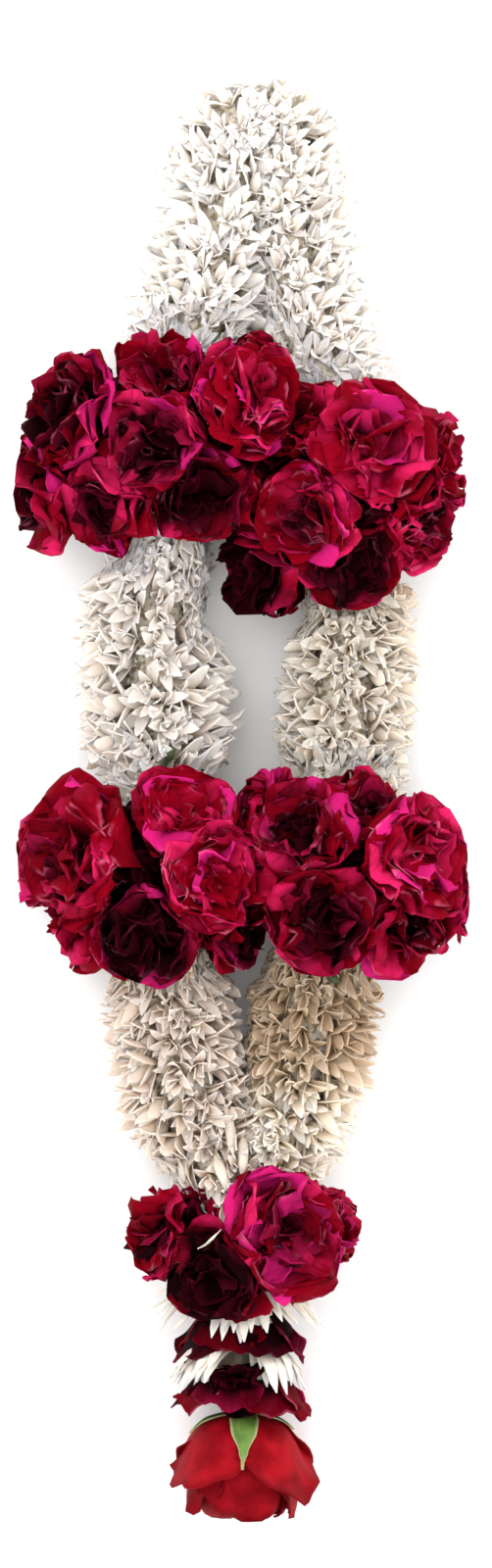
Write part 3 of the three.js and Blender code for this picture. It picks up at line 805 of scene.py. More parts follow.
WHITE_SHAPES = 6
WHITE_LENGTH = 27  # of a petal, in mm
STRAND_R = 37 * MM  # the strand on which florets have their full size

# Share of a strand's radius at a Y in mm: the garland is thinner at the top of its loop.
slimming = blended([
    (-400, 1), (-112, 1), (-94, 0.86), (-60, 0.86), (-50, 1), (290, 1), (330, 0.85),
    (345, 0.72), (400, 0.72),
])
# Share of a strand's lift over the tassel's roses, at a Y in mm.
lifting = blended([(-400, 1), (-208, 1), (-176, 0), (400, 0)])


def white_petal(rng, lean=None, length=WHITE_LENGTH):
    """One of the thick pointed petals of a floret, which leans from its axis by lean(v)."""
    half = 4.6 * MM * rng.uniform(0.85, 1.12)
    width = blended([(0, 0.45 * half), (0.45, half), (0.82, 0.5 * half), (1, 0.05 * half)])
    bend = rng.uniform(0.0, 0.4)
    tip = rng.uniform(-0.35, 0.5)
    twist = rng.uniform(-1, 1) * 0.5 * MM
    return petal(
        along=np.array([0, 0.3, 0.6, 0.84, 1]),
        across=np.array([-1, -0.5, 0, 0.5, 1]),
        length=length * MM * rng.uniform(0.86, 1.06),
        width=width,
        angles=lean or (lambda v: -0.12 + bend * v + tip * np.maximum(v - 0.7, 0) / 0.3),
        cup=7 * MM,
        ruffle=lambda u, v: twist * u * v,
        thickness=0.7 * MM,
    )


def throat(sides=6):
    """A floret's tube, from the thread out to the mouth between its petals."""
    heights, radii = mm([(-11, 1.0), (-4, 1.7), (1.5, 2.9)]).T
    points = ringed(heights[:, None] * (0, 0, 1), radii, sides)
    return points, ring_faces(len(radii), sides), everywhere(points, across=0, blade=-1)


def core(line, radius, sides=20):
    """The lumpy mass of tubes inside a strand, which shows between its petals.

    Its dark colour is partly the tubes' own and partly painted shade in the gaps between petals.
    """
    spots = line[1:-1:3]
    points = ringed(spots, np.full(len(spots), radius), sides)
    rays = points - np.repeat(spots, sides, axis=0)
    points = points + rays * 0.12 * ripple(points, 9, 6 * MM)[:, None]
    attributes = everywhere(points, across=0, blade=-0.8, tone=0, shade=0)
    return points, ring_faces(len(spots), sides), attributes


def floret_growth():
    """Whorls of florets along a curve, each floret a ring of petals round its throat."""
    tree = Growth("Floret whorls", {
        "Float": ("Pitch", "Mouth", "Opening", "Upright", "Unevenness", "Size"),
        "Int": ("Florets", "Petals", "Seed"),
        "Vector": ("Combed",), "Collection": ("Petal shapes",),
        "Object": ("Throat",), "Material": ("Material",),
    })
    given, vector = tree.given, tree.vector
    uneven, upright = given["Unevenness"], given["Upright"]

    def by_chance(reach, seed):
        return tree.random(-reach, reach, seed) * uneven

    values = {"Curve": given["Geometry"], "Length": given["Pitch"]}
    even = tree.node("GeometryNodeResampleCurve", values, mode="LENGTH")["Curve"]
    spots = tree.node("GeometryNodeCurveToPoints", {"Curve": even}, mode="EVALUATED")
    tangent, normal = spots["Tangent"], spots["Normal"]
    florets, number = tree.copied(spots["Points"], given["Florets"])
    whorl = (tree.index() / given["Florets"]).floor()
    angle = (number + whorl * 0.5 + by_chance(0.3, 1)) * TURN / given["Florets"]
    side = vector("CROSS_PRODUCT", tangent, normal)
    first = vector("SCALE", normal, scale=angle.cosine())
    radial = vector("ADD", first, vector("SCALE", side, scale=angle.sine()))
    middle = tree.part(radial, "Z").step(0.72, 0.9)
    raised = tree.combined(1.0, 1.0, upright + (1 - upright) * middle)
    along = vector("SCALE", tangent, scale=by_chance(0.16, 2))
    leaning = vector("ADD", vector("MULTIPLY", radial, raised), along)
    values = {"Vector": vector("NORMALIZE", vector("ADD", leaning, given["Combed"]))}
    aimed = tree.node("FunctionNodeAlignRotationToVector", values, axis="Z")["Rotation"]
    spun = tree.turned(aimed, 0.0, 0.0, tree.random(0.0, TURN, 3))
    florets = tree.stored(florets, "QUATERNION", turn=spun)
    florets = tree.stored(florets, tone=tree.random(0.0, 1.0, 4), reach=1 - middle * 0.22)
    shift = vector("SCALE", tangent, scale=tree.random(-0.4, 0.4, 5) * given["Pitch"] * uneven)
    outwards = vector("SCALE", radial, scale=given["Mouth"] * (1 + by_chance(0.1, 6)))
    values = {"Geometry": florets, "Offset": vector("ADD", shift, outwards)}
    florets = tree.node("GeometryNodeSetPosition", values)["Geometry"]
    turn = tree.named("turn", "QUATERNION")
    tube = tree.node("GeometryNodeObjectInfo", {"Object": given["Throat"]})["Geometry"]
    throats = tree.instances(florets, tube, turn)
    petals, number = tree.copied(florets, given["Petals"])
    tilt = given["Opening"] * (1.6 - (number % 3) * 0.6) + by_chance(0.12, 7)
    place = number * TURN / given["Petals"] + by_chance(0.16, 8)
    size = given["Size"] * (1 + tree.random(-0.32, 0.14, 9) * uneven) * tree.named("reach")
    petals = tree.stored(petals, shade=tree.random(0.0, 1.0, 10))
    shape = tree.random(0, WHITE_SHAPES - 1, 11, "INT")
    petals = tree.petals(petals, shape, tree.turned(turn, 0.0, tilt, place), size)
    both = tree.node("GeometryNodeJoinGeometry")
    for part in (throats, petals):
        tree.feed(both.node.inputs[0], part)
    return tree.finish(both["Geometry"])


def curve_through(line):
    curve = bpy.data.curves.new("route", "CURVE")
    curve.dimensions = "3D"
    spline = curve.splines.new("POLY")
    spline.points.add(len(line) - 1)
    spline.points.foreach_set("co", np.hstack([line, np.ones((len(line), 1))]).ravel())
    return bpy.data.objects.new("route", curve)


def anchors_on(line, points):
    """The closest place on a line to each point."""
    best = np.full(len(points), np.inf)
    found = np.zeros_like(points)
    for a, b in zip(line[:-1:2], np.vstack([line[2::2], line[-1:]])):
        span = b - a
        t = np.clip((points - a) @ span / max(span @ span, 1e-12), 0, 1)[:, None]
        spot = a + t * span
        away = np.linalg.norm(points - spot, axis=1)
        closer = away < best
        best[closer], found[closer] = away[closer], spot[closer]
    return found


def eased_in(share, free, more):
    """A share that is kept up to a free part of it, and then grows by no more than a little."""
    return np.where(share > free, free + more * np.tanh((share - free) / more), share)


def pressed_strand(points, strand):
    """A strand's points, drawn in round its thread, kept in its room and lifted at its foot."""
    anchors = anchors_on(strand["line"], points)
    rays = points - anchors
    share = lengths_of(rays) / (strand["radius"] * slimming(anchors[:, 1] / MM))
    points = anchors + rays * (eased_in(share, 0.97, 0.22) / share)[:, None]
    points = fitted(points, anchors, strand["walls"], FLORET_SHARE, RAGGED)
    above = np.clip((points - anchors)[:, 2] / strand["radius"], 0, 1)
    points[:, 2] += above * lifting(anchors[:, 1] / MM) * strand.get("lift", 0) * MM
    return points


def white_petals(name, tint, tan, lower=None, turns=None):
    """Waxy white petals with fine veins, browner towards the throat by how much tan there is,
    partly browning and partly painted warm shade.

    With a lower tint, it turns into the other between two places along Y, in mm.
    """
    shader = Shader(name)
    blade, across, tone, shade = shader.attributes("blade", "across", "tone", "shade")

    def tinted(*shares):
        colour = np.multiply(tint, shares)
        if lower is None:
            return colour
        height = shader.part(shader.place(), "Y")
        return shader.painted(np.multiply(lower, shares), (height.step(*mm(turns)), colour))

    veins = shader.noise(shader.combined(across * 3.2, blade * 0.7, tone * 40), 2.2, 3.0, 0.6)
    patch = shader.noise(shader.place(), 90.0, 3.0)
    mottle = shader.noise(shader.place(), 330.0)
    grooves = shader.noise(shader.combined(across * 5, blade * 0.8, shade * 30), 3.0)
    # from_throat paints the lower part of each petal brown: partly browning, partly painted warm
    # shade where petals overlap.
    from_throat = 1 - blade.step(0.05, 0.62 + 0.3 * tan)
    # The throats and the core are dark brown with pale mottles: partly the tubes' own colour, partly
    # painted shade in the gaps between petals.
    tube = shader.painted((0.3, 0.24, 0.14), (mottle.step(0.38, 0.54), (0.72, 0.67, 0.58)))
    colour = shader.painted(
        tinted(0.95, 0.93, 0.91),
        ((tone * 0.7 + shade * 0.5).step(0.2, 1.0), tinted(1.05, 1.03, 0.98)),
        (veins.step(0.5, 0.78) * 0.4, tinted(0.88, 0.84, 0.78)),
        (patch.step(0.58, 0.75) * (tan * 0.6), (0.5, 0.36, 0.2)),
        (from_throat * (0.2 + 0.6 * tan), (0.46, 0.33, 0.18)),
        ((blade * -1).step(0.2, 0.9), tube),
    )
    return shader.finish(
        Base_Color=colour,
        Roughness=0.45 + veins * 0.2,
        Normal=shader.bump(grooves + patch * 0.3, 0.0003, 0.35),
        Subsurface_Weight=0.9,
        Subsurface_Radius=(0.002, 0.0017, 0.0014),
        Subsurface_Scale=1.0,
        Specular_IOR_Level=0.3,
    )


class FloretSettings(bpy.types.PropertyGroup):
    """Sizes of the white florets."""

    pitch: real_setting("Pitch", "Space between whorls of florets", 0.0086, unit="LENGTH")
    florets: whole_setting("Florets", "Florets in a whorl", 10)
    petals: whole_setting("Petals", "Petals in a floret", 8)
    opening: real_setting("Opening", "Lean of petals from a floret's axis", 0.5, subtype="ANGLE")
    upright: real_setting("Upright", "How far the middle florets stand up, not part", 0.6)
    mouth: real_setting("Mouth", "Where petals part, against a strand's radius", 0.42)
    core: real_setting("Core", "Radius of the mass of tubes against a strand's", 0.42)
    unevenness: real_setting("Unevenness", "How far florets depart from a regular row", 1.0)
    seed: whole_setting("Seed", "Seed of the florets' unevenness", 11)


class GARLAND_OT_floret_strands(bpy.types.Operator):
    """Strings the six lengths of white florets."""

    bl_idname = "garland.floret_strands"
    bl_label = "Floret strands"

    def execute(self, context):
        sizes = context.scene.garland_florets
        rng = np.random.default_rng(sizes.seed)
        petals = shapes("white_petal", [white_petal(rng) for _ in range(WHITE_SHAPES)])
        tube = bpy.data.objects.new("throat", mesh_from("throat", [throat()]))
        tree = floret_growth()
        for i, (place, strand) in enumerate(STRANDS.items()):
            name, line, radius = f"florets_{place}", strand["line"], strand["radius"]
            tints = (strand.get(key) for key in ("tint", "tan", "lower", "turns"))
            material = white_petals(f"white petals {i + 1}", *tints)
            mesh = tree.grow(curve_through(line), {
                "Pitch": sizes.pitch, "Florets": sizes.florets, "Petals": sizes.petals,
                "Mouth": radius * sizes.mouth, "Opening": sizes.opening,
                "Upright": sizes.upright, "Combed": strand["combed"],
                "Unevenness": sizes.unevenness, "Size": radius / STRAND_R,
                "Seed": sizes.seed + 20 * i, "Petal shapes": petals, "Throat": tube,
                "Material": material,
            })
            mesh = joined([mesh, mesh_from("core", [core(line, radius * sizes.core)])], name)
            move_to(mesh, pressed_strand(coordinates(mesh), strand))
            add_petals(name, mesh, "white_petals", material)
        put_away(petals)
        bpy.data.objects.remove(tube)
        return {"FINISHED"}


# ---------------------------------------------------------------- crimson roses

CRIMSON_SHAPES = 4  # of each kind
ANY_HEART = (0.4, 1.25)  # how far the dark of a heart reaches on a rose that has no own number
FOLDS = [(0, 7, 24), (7, 3, 9)]  # seed, size and length in mm of the folds in whole petals
LOBES, LOBE_LENGTH = 0.16, 1.1  # how much a rose's outline swells, and how far apart, on a unit ball
FILLER_UP = (0, 0, 12)  # from a band's middle to that of its filler
FILLER_SEEDS, TAIL_HEART_SEED = 200, 80  # after that of the first rose
# The kinds of petal of a rose of radius 1: outer, cup and heart. Lean at the root, bend along it
# and curl of the rim, in radians; half the width, radius across, ruffle and cut of the corners.
CRIMSON_KINDS = [
    (-0.45, 0.75, 0.9, 0.66, 0.95, 0.15, 0.2),
    (-0.4, 0.35, 0.75, 0.6, 0.6, 0.14, 0.16),
    (-0.1, -0.15, 0.35, 0.5, 0.4, 0.1, 0.12),
]


def waves(rng, amount, strongest=3):
    """A ruffle that grows towards the rim, different on each petal."""
    order = np.arange(1, strongest + 1)
    turns = rng.uniform(2.6, 4.6, strongest) * order
    phases = rng.uniform(0, TURN, strongest)
    sizes = rng.uniform(0.5, 1, strongest) / order
    return lambda u, v: amount * v**1.8 * sum(
        s * np.sin(t * u + p) for s, t, p in zip(sizes, turns, phases)
    )


def uneven_rim(rng, corners, notch=0.06):
    turns, phase = rng.uniform(5, 8), rng.uniform(0, TURN)
    return lambda u: 1 - corners * np.abs(u) ** 2.6 + notch * np.sin(turns * u + phase)


def crimson_petal(kind, rng):
    start, bend, roll, half, cup, ruffle, corners = kind
    half *= rng.uniform(0.92, 1.08)
    cup *= rng.uniform(0.85, 1.2)
    roll *= rng.uniform(0.6, 1.3)
    from_rim = 0.72 + 0.08 * rng.uniform(-1, 1)
    side = np.array([0.16, 0.32, 0.48, 0.64, 0.8, 0.93, 1])
    return petal(
        along=np.array([0, 0.16, 0.34, 0.52, 0.68, 0.8, 0.89, 0.96, 1]),
        across=np.concatenate([-side[::-1], [0], side]),
        length=1.12 * rng.uniform(0.95, 1.05),
        width=blended([(0, 0.22 * half), (0.35, 0.8 * half), (0.7, half), (1, 0.9 * half)]),
        angles=lambda v: start + bend * v + roll * np.maximum(v - from_rim, 0) / (1 - from_rim),
        cup=cup,
        ruffle=waves(rng, ruffle),
        rim=uneven_rim(rng, corners),
        thickness=0.016,
    )


def crimson_shapes(rng):
    made = [crimson_petal(kind, rng) for kind in CRIMSON_KINDS for _ in range(CRIMSON_SHAPES)]
    return shapes("crimson_petal", made)


def rose_growth():
    """Petals round an axis a golden angle apart, from the open outer ones to the closed heart."""
    tree = Growth("Rose whorls", {
        "Float": ("Radius", "Open", "Shut", "Heart", "Unevenness"), "Int": ("Petals", "Seed"),
        "Collection": ("Petal shapes",), "Material": ("Material",),
    })
    given = tree.given

    def by_chance(reach, seed):
        return tree.random(-reach, reach, seed) * given["Unevenness"]

    values = {"Count": given["Petals"], "Offset": (0, 0, 0)}
    points = tree.node("GeometryNodeMeshLine", values)["Mesh"]
    number = tree.index()
    inwards = number / (given["Petals"] - 1)
    turn = number * GOLDEN_ANGLE + by_chance(0.3, 1)
    shutting = (given["Shut"] - given["Open"]) * inwards**0.62
    tilt = given["Open"] + shutting + by_chance(0.14, 2)
    rotation = tree.turned(None, by_chance(0.16, 3), tilt, turn)
    smaller = 1 + (given["Heart"] - 1) * inwards**1.3
    size = given["Radius"] * smaller * (1 + by_chance(0.07, 4))
    shape = tree.random(0, CRIMSON_SHAPES - 1, 5, "INT")
    shape = (inwards * 2.999).floor() * CRIMSON_SHAPES + shape
    points = tree.stored(points, layer=inwards, tone=tree.random(0.0, 1.0, 6))
    return tree.finish(tree.petals(points, shape, rotation, size))


def warped(points, seed, size, length):
    """Points moved by slow patterns, so that whole petals fold and wave together."""
    return points + size * np.stack([ripple(points, seed + k, length) for k in range(3)], axis=1)


def stood_at(points, at, facing, spin):
    """Points round Z, spun and taken to a place where they grow the way that it faces."""
    u, v = sideways(facing)
    turned = np.column_stack([u, v, facing]) @ np.array(Matrix.Rotation(spin, 3, "Z"))
    return points @ turned.T + at


def crimson_petals(name):
    """Velvety crimson petals: magenta on the folds, partly painted highlight; pale thin rims,
    partly painted glints; near-black hearts, partly painted shade.
    """
    shader = Shader(name)
    blade, across, layer, tone = shader.attributes("blade", "across", "layer", "tone")
    patch = shader.noise(shader.place(), 55.0)
    fray = shader.noise(shader.place(), 75.0)
    veins = shader.noise(shader.combined(across * 7, blade * 1.1, tone * 50), 2.4, 3.0, 0.65)
    creases = shader.noise(shader.combined(across * 6, blade * 2, tone * 20), 2.0, 3.0)
    # Magenta on patches of the outer halves of petals: partly the petals' own hue, partly painted
    # highlight.
    magenta_and_highlight = (patch * 1.1 + tone * 0.6).step(0.72, 1.3) * blade.step(0.5, 1.0)
    # sheen is a painted violet-pink sheen on the outer part of a few petals.
    sheen = tone.step(0.9, 0.94) * blade.step(0.4, 0.9) * (1 - layer.step(0.25, 0.5))
    # Inner petals and the bases of petals go near black: partly dark petals, partly painted shade in
    # the heart and where petals overlap.
    dark_heart_and_shade = layer.step(0.12, 0.6) * 0.95 + (1 - blade.step(0.3, 0.98)) * 0.9
    edge = abs(across).max(blade)
    # rim paints the thin edges pale pink in places: partly the petals' paler edges, partly painted
    # glints.
    rim = edge.step(0.96, 1.0) * fray.step(0.54, 0.7) * (1 - layer).max(0.0) ** 1.5
    colour = shader.painted(
        (0.19, 0.0, 0.006),
        (magenta_and_highlight, (0.67, 0.014, 0.105)),
        (veins.step(0.5, 0.72) * 0.45, (0.03, 0.0, 0.001)),
        (sheen * 0.75, (0.56, 0.012, 0.17)),
        (dark_heart_and_shade, (0.005, 0.0, 0.0005)),
        (rim * 0.45, (0.78, 0.16, 0.3)),
    )
    return shader.finish(
        Base_Color=colour,
        Roughness=0.6 + patch * 0.15,
        Normal=shader.bump(creases + veins * 0.4, 0.0006, 0.55),
        Specular_IOR_Level=0.04,
        Specular_Tint=(1.0, 0.4, 0.6, 1),
    )


class RoseSettings(bpy.types.PropertyGroup):
    """How the crimson roses are built up."""

    petals: whole_setting("Petals", "Petals of a rose that shows", 32)
    hidden_petals: whole_setting("Hidden petals", "Petals of a rose on the underside", 14)
    open: real_setting("Open", "Lean of the outermost petals", 1.2, subtype="ANGLE")
    shut: real_setting("Shut", "Lean of the innermost petals", 0.12, subtype="ANGLE")
    heart: real_setting("Heart", "Size of the innermost petals against the outermost", 0.6)
    fullness: real_setting("Fullness", "Size of a rose's petals against its radius", 1.2)
    seed: whole_setting("Seed", "Seed of the roses' unevenness", 101)


def grown_rose(tree, petals, rose, sizes, count, material, seed):
    """One rose, pressed into the room between its neighbours."""
    rng = np.random.default_rng(seed)
    at, radius = rose["at"], rose["radius"]
    start = bpy.data.objects.new("start", bpy.data.meshes.new("start"))
    mesh = tree.grow(start, {
        "Petals": round(count * rng.uniform(0.85, 1.35)), "Radius": radius * sizes.fullness,
        "Open": sizes.open * rng.uniform(0.8, 1.15), "Shut": sizes.shut,
        "Heart": sizes.heart * rng.uniform(0.85, 1.3), "Unevenness": rng.uniform(0.8, 1.5),
        "Seed": seed, "Petal shapes": petals, "Material": material,
    })
    # The layer sets how far a rose's dark heart reaches, partly dark petals and partly painted
    # shade; "darker" deepens it.
    (dark,) = rose.get("heart") or (rng.uniform(*ANY_HEART),)
    layer = np.clip(numbers(mesh, "layer") * dark, 0, 1)
    set_numbers(mesh, "layer", np.minimum(layer + rose.get("darker", 0), 1))
    root = at - rose["facing"] * radius / 2
    points = stood_at(coordinates(mesh), root, rose["facing"], seed * 1.7)
    for further, size, length in FOLDS:
        points = warped(points, seed + further, size * MM, length * MM)
    rays = points - at
    distance = lengths_of(rays)
    swell = 1 + LOBES * ripple(rays / distance[:, None], seed, LOBE_LENGTH)
    share = distance / (radius * swell)
    rays *= (eased_in(share, 0.86, 0.2) / share)[:, None]
    move_to(mesh, fitted(at + rays, at, rose["walls"]))
    return mesh


class GARLAND_OT_roses(bpy.types.Operator):
    """Makes the crimson roses of the bands and of the tassel."""

    bl_idname = "garland.roses"
    bl_label = "Crimson roses"

    def execute(self, context):
        sizes = context.scene.garland_roses
        petals = crimson_shapes(np.random.default_rng(sizes.seed))
        tree = rose_growth()
        material = crimson_petals("crimson petals")
        under = {}
        for seed, rose in enumerate(ROSES, sizes.seed):
            name = rose["name"]
            count = sizes.hidden_petals if rose["hidden"] else sizes.petals
            mesh = grown_rose(tree, petals, rose, sizes, count, material, seed)
            if rose["hidden"]:
                under.setdefault(name, []).append(mesh)
            else:
                add_petals(name, mesh, "crimson_petals", material)
        for seed, (band, rows) in enumerate(BANDS.items(), sizes.seed + FILLER_SEEDS):
            filler = {
                "at": mm(rows["at"]) + mm(FILLER_UP), "facing": unit((0, 0, 1)),
                "radius": rows.get("filler", FILLER_R) * MM, "walls": [FLOOR], "darker": 0.45,
            }
            mesh = grown_rose(tree, petals, filler, sizes, sizes.petals, material, seed)
            under[f"roses_{band}_under"].append(mesh)
        for name, meshes in under.items():
            add_petals(name, joined(meshes, name), "crimson_petals", material)
        put_away(petals)
        return {"FINISHED"}


# ---------------------------------------------------------------- tassel's tail

DOWN = np.array([0, -1, 0.0])
PETAL_STEP = 10  # degrees between a ruff's petals, in two rows
# The section of a crimson disc: how far from the axis, and how far along it.
DISC_SECTION = np.array([(3, 0), (13, 0.8), (22, 3.5), (28, 9), (31, 16), (33, 24), (36, 31)])


def round_axis(top, radius, depth, angle):
    """Places round an axis that runs down the tassel from a top, from polar measures."""
    places = (top[0] + radius * np.cos(angle), top[1] - depth, top[2] + radius * np.sin(angle))
    return np.stack(np.broadcast_arrays(*places), axis=-1)


def section(points):
    """The radius and depth at a length along a section, all in metres."""
    line = smooth_route(points, 0.5 * MM)
    run = np.concatenate([[0], np.cumsum(np.linalg.norm(np.diff(line, axis=0), axis=1))])
    return lambda length: (np.interp(length, run, line[:, 0]), np.interp(length, run, line[:, 1]))


def swept_petal(top, profile, turn, half, lengths, rng, ruffled, lip):
    """A broad petal along a section round an axis, out over the shoulder to an uneven rim.

    lengths are those of its middle, its left corner and its right corner, in mm.
    """
    middle, left, right = lengths
    along = np.array([0, 0.1, 0.2, 0.3, 0.4, 0.5, 0.6, 0.7, 0.78, 0.85, 0.9, 0.94, 0.97, 1])
    u, v = np.meshgrid(np.sin(np.linspace(-1, 1, 23) * math.pi / 2), along)
    phases = rng.uniform(0, TURN, 4)
    scallop = 1.6 * np.sin(4.3 * u + phases[0]) + 0.9 * np.sin(10 * u + phases[1])
    point = 3.5 * (1 - np.abs(u)) ** 4
    corner = np.where(u < 0, right, left)
    length = (middle + (corner - middle) * np.abs(u) ** 2.2 + scallop * ruffled + point) * MM
    radius, depth = section(profile)(length * v)
    reached = {share: blended([(0, 0), (share, 1), (1, 1)])(v) for share in (0.25, 0.3, 0.5)}
    angle = math.radians(turn) + math.radians(half) * u * (0.72 + 0.28 * reached[0.5])
    rim = np.clip(v - 0.78, 0, 1) / 0.22
    wave = (1.1 * np.sin(5 * u + phases[2]) + 0.6 * np.sin(11 * u + phases[3])) * rim**1.5
    fold = 0.8 * u + 0.5 * np.abs(u) ** 8 * reached[0.3]
    lifted = (wave * ruffled + lip * rim**2 + fold) * reached[0.25] * MM
    grid = round_axis(top, radius + lifted, depth - lip * MM * rim**2 * 0.4, angle)
    return sheet(grid, u, v, 0.8 * MM)


def kept_in(skirt, points):
    """A skirt's points, pressed towards the tassel's axis beside them."""
    return fitted(points, TAIL_AXIS + points * (0, 1, 0), skirt["walls"])


def hung_ruff(skirt, rng):
    """The parts of a white ruff: petals that hang from the thread in two rows."""
    parts = []
    for start, end, root_lean, tip_lean, length in skirt["sectors"]:
        for turn in np.arange(start, end, PETAL_STEP / 2):
            turn += rng.uniform(-3, 3)
            lean = rng.uniform(-0.3, 0.3)
            tip = tip_lean + lean
            stops = [(0, root_lean + lean), (0.75, tip), (1, tip + rng.uniform(-0.3, 0.3))]
            points, faces, attributes = white_petal(rng, blended(stops), length)
            points[:, 0] += skirt["root"] * MM * rng.uniform(0.5, 1)
            at = skirt["line"][0] + mm((0, -rng.uniform(0, 5), 0))
            points = kept_in(skirt, stood_at(points, at, DOWN, math.radians(turn)))
            attributes |= everywhere(points, tone=rng.uniform(), shade=rng.uniform())
            parts.append((points, faces, attributes))
    return parts


def hung_disc(skirt, count, rng):
    """The parts of a crimson disc: broad petals that overlap round the thread."""
    profile = DISC_SECTION * (skirt["width"], 1)
    parts = []
    for k in range(count):
        length = skirt["length"] * rng.uniform(0.88, 1.04)
        lengths = (length, length * 0.78, length * 0.78)
        turn = (k + 0.3) * 360 / count + rng.uniform(-8, 8)
        top = skirt["line"][0] - mm((0, (k % 2) * 2, 0))
        points, faces, attributes = swept_petal(top, profile, turn, 38, lengths, rng, 1.5, 2.5)
        points = kept_in(skirt, points)
        layer = skirt["layer"] * rng.uniform(0.6, 1.3)
        attributes |= everywhere(points, layer=layer, tone=rng.uniform())
        parts.append((points, faces, attributes))
    return parts


class TailSettings(bpy.types.PropertyGroup):
    """The skirts that are threaded on the tassel's tail."""

    disc_petals: whole_setting("Disc petals", "Petals of a crimson disc", 8)
    heart_petals: whole_setting("Heart petals", "Petals of the dark rose between the ruffs", 14)
    heart_radius: real_setting("Heart", "Radius of that dark rose", 0.017, unit="LENGTH")
    seed: whole_setting("Seed", "Seed of the skirts' unevenness", 31)


class GARLAND_OT_tail(bpy.types.Operator):
    """Threads the white ruffs and crimson discs on the tassel's tail."""

    bl_idname = "garland.tail"
    bl_label = "Ruffs and discs"

    def execute(self, context):
        sizes = context.scene.garland_tail
        roses = context.scene.garland_roses
        rng = np.random.default_rng(sizes.seed)
        crimson, tree = crimson_shapes(rng), rose_growth()
        cream = white_petals("ruff petals", (0.82, 0.75, 0.69), 0.3)
        wine = crimson_petals("disc petals")
        for skirt in SKIRTS:
            name = skirt["name"]
            if "sectors" in skirt:
                add_petals(name, mesh_from(name, hung_ruff(skirt, rng)), "white_petals", cream)
                continue
            meshes = [mesh_from(name, hung_disc(skirt, sizes.disc_petals, rng))]
            if name == "disc_lower":
                heart = {
                    "at": skirt["line"][0] + mm((0, -5, 19)), "facing": unit((0, -0.35, 1)),
                    "radius": sizes.heart_radius, "walls": [FLOOR], "darker": 0.5,
                }
                size, seed = sizes.heart_petals, roses.seed + TAIL_HEART_SEED
                meshes.append(grown_rose(tree, crimson, heart, roses, size, wine, seed))
            add_petals(name, joined(meshes, name), "crimson_petals", wine)
        put_away(crimson)
        return {"FINISHED"}


# ---------------------------------------------------------------- red rose

RED_ROSE_TOP = mm((1, -315.5, 36))  # where the rose sits on its cup; it opens towards -Y
RED_ROSE_MIDDLE = RED_ROSE_TOP + mm((0, -27, 0))
RED_ROSE_WALLS = [FLOOR, Wall((0, -1, 0), 369.6 * MM)]
# The section of each whorl of petals: how far from the axis, and how far along it.
RED_SECTIONS = [
    [(3, 0), (12, 0.6), (19, 3), (24.5, 9), (28.5, 16), (31.5, 24), (34.5, 31), (38, 38),
     (42, 44), (45, 50)],
    [(3, 1), (10, 2.2), (16, 5.5), (21, 11.5), (24.5, 19), (27, 28), (28, 37), (27.5, 45),
     (24, 52.5)],
    [(3, 2), (9, 4), (14, 8), (18.5, 15), (21.5, 24), (23, 34), (22.5, 43), (19, 50), (14, 52)],
    [(3, 3), (8, 6), (12, 12), (15, 20), (16, 30), (15, 40), (11, 46), (7, 49)],
]
# Each petal: its whorl, turn about the axis (90 faces up from the surface) and half its width in
# degrees, the length of its middle and of its two corners along the section, in mm.
RED_PETALS = [
    (0, 135, 50, 54, 43, 35), (0, 44, 53, 58, 37, 43), (0, 214, 48, 45, 32, 32),
    (0, 322, 46, 46, 32, 32), (0, 268, 40, 47, 34, 34),
    (1, 84, 54, 66, 51, 48), (1, 16, 46, 61, 46, 52), (1, 156, 46, 59, 52, 46),
    (1, 300, 48, 63, 50, 50), (1, 228, 48, 62, 50, 50),
    (2, 60, 60, 65, 57, 58), (2, 135, 60, 66, 58, 56), (2, 250, 60, 66, 60, 60),
    (2, 330, 60, 66, 60, 60),
    (3, 90, 90, 64, 56, 56), (3, 210, 90, 64, 56, 56), (3, 330, 90, 64, 56, 56),
]
# The ruffle and the turned lip of the outer petals, and those of the others.
OUTER_RIM, INNER_RIM = (1.7, 2.6), (2.2, 1.1)
# Each sepal: its turn about the axis, and its width and length against the widest and longest.
SEPALS = [(88, 1.0, 1.0), (163, 0.66, 0.56), (18, 0.5, 0.5), (236, 0.9, 0.9), (304, 0.9, 0.9)]


def red_petal(whorl, turn, half, *lengths, rng):
    rim = INNER_RIM if whorl else OUTER_RIM
    return swept_petal(RED_ROSE_TOP, RED_SECTIONS[whorl], turn, half, lengths, rng, *rim)


def red_sepal(turn, half, length, rng):
    """A sepal that lies along the rose's shoulder, with a keel and a thin tip that lifts."""
    along = np.array([0, 0.15, 0.3, 0.42, 0.5, 0.57, 0.64, 0.7, 0.76, 0.82, 0.88, 0.94, 1])
    across = np.array([-1, -0.85, -0.5, 0, 0.5, 0.85, 1])
    u, v = np.meshgrid(across, along)
    outline = blended([(0, 0.7), (0.34, 1), (0.5, 0.9), (0.8, 0.28), (0.9, 0.1), (1, 0.05)])
    width = outline(v) * half
    radius, depth = section(RED_SECTIONS[0])(1.5 * MM + v * length)
    keel = (0.9 * (1 - np.abs(u)) + 1.2 * v**3 * rng.uniform(0.2, 1.4)) * MM
    bend = math.radians(rng.uniform(-5, 5)) * v**2
    angle = math.radians(turn) + bend + u * width / np.maximum(radius, 6 * MM)
    lifted = radius + 1.9 * MM + keel
    grid = round_axis(RED_ROSE_TOP, lifted, depth - 1.1 * MM * (1 - v), angle)
    return sheet(grid, u, v, 0.7 * MM)


def cup(sides=20):
    """The green cup that the sepals grow from, turned round the rose's axis."""
    rings = mm([(2.2, -4), (4.6, -3.6), (6.6, -1.6), (8.4, 0.2), (8.8, 1.2), (3, 1.4)])
    angles = np.arange(sides) * TURN / sides
    points = np.concatenate([round_axis(RED_ROSE_TOP, r, d, angles) for r, d in rings])
    return points, ring_faces(len(rings), sides), everywhere(points, across=0, blade=0)


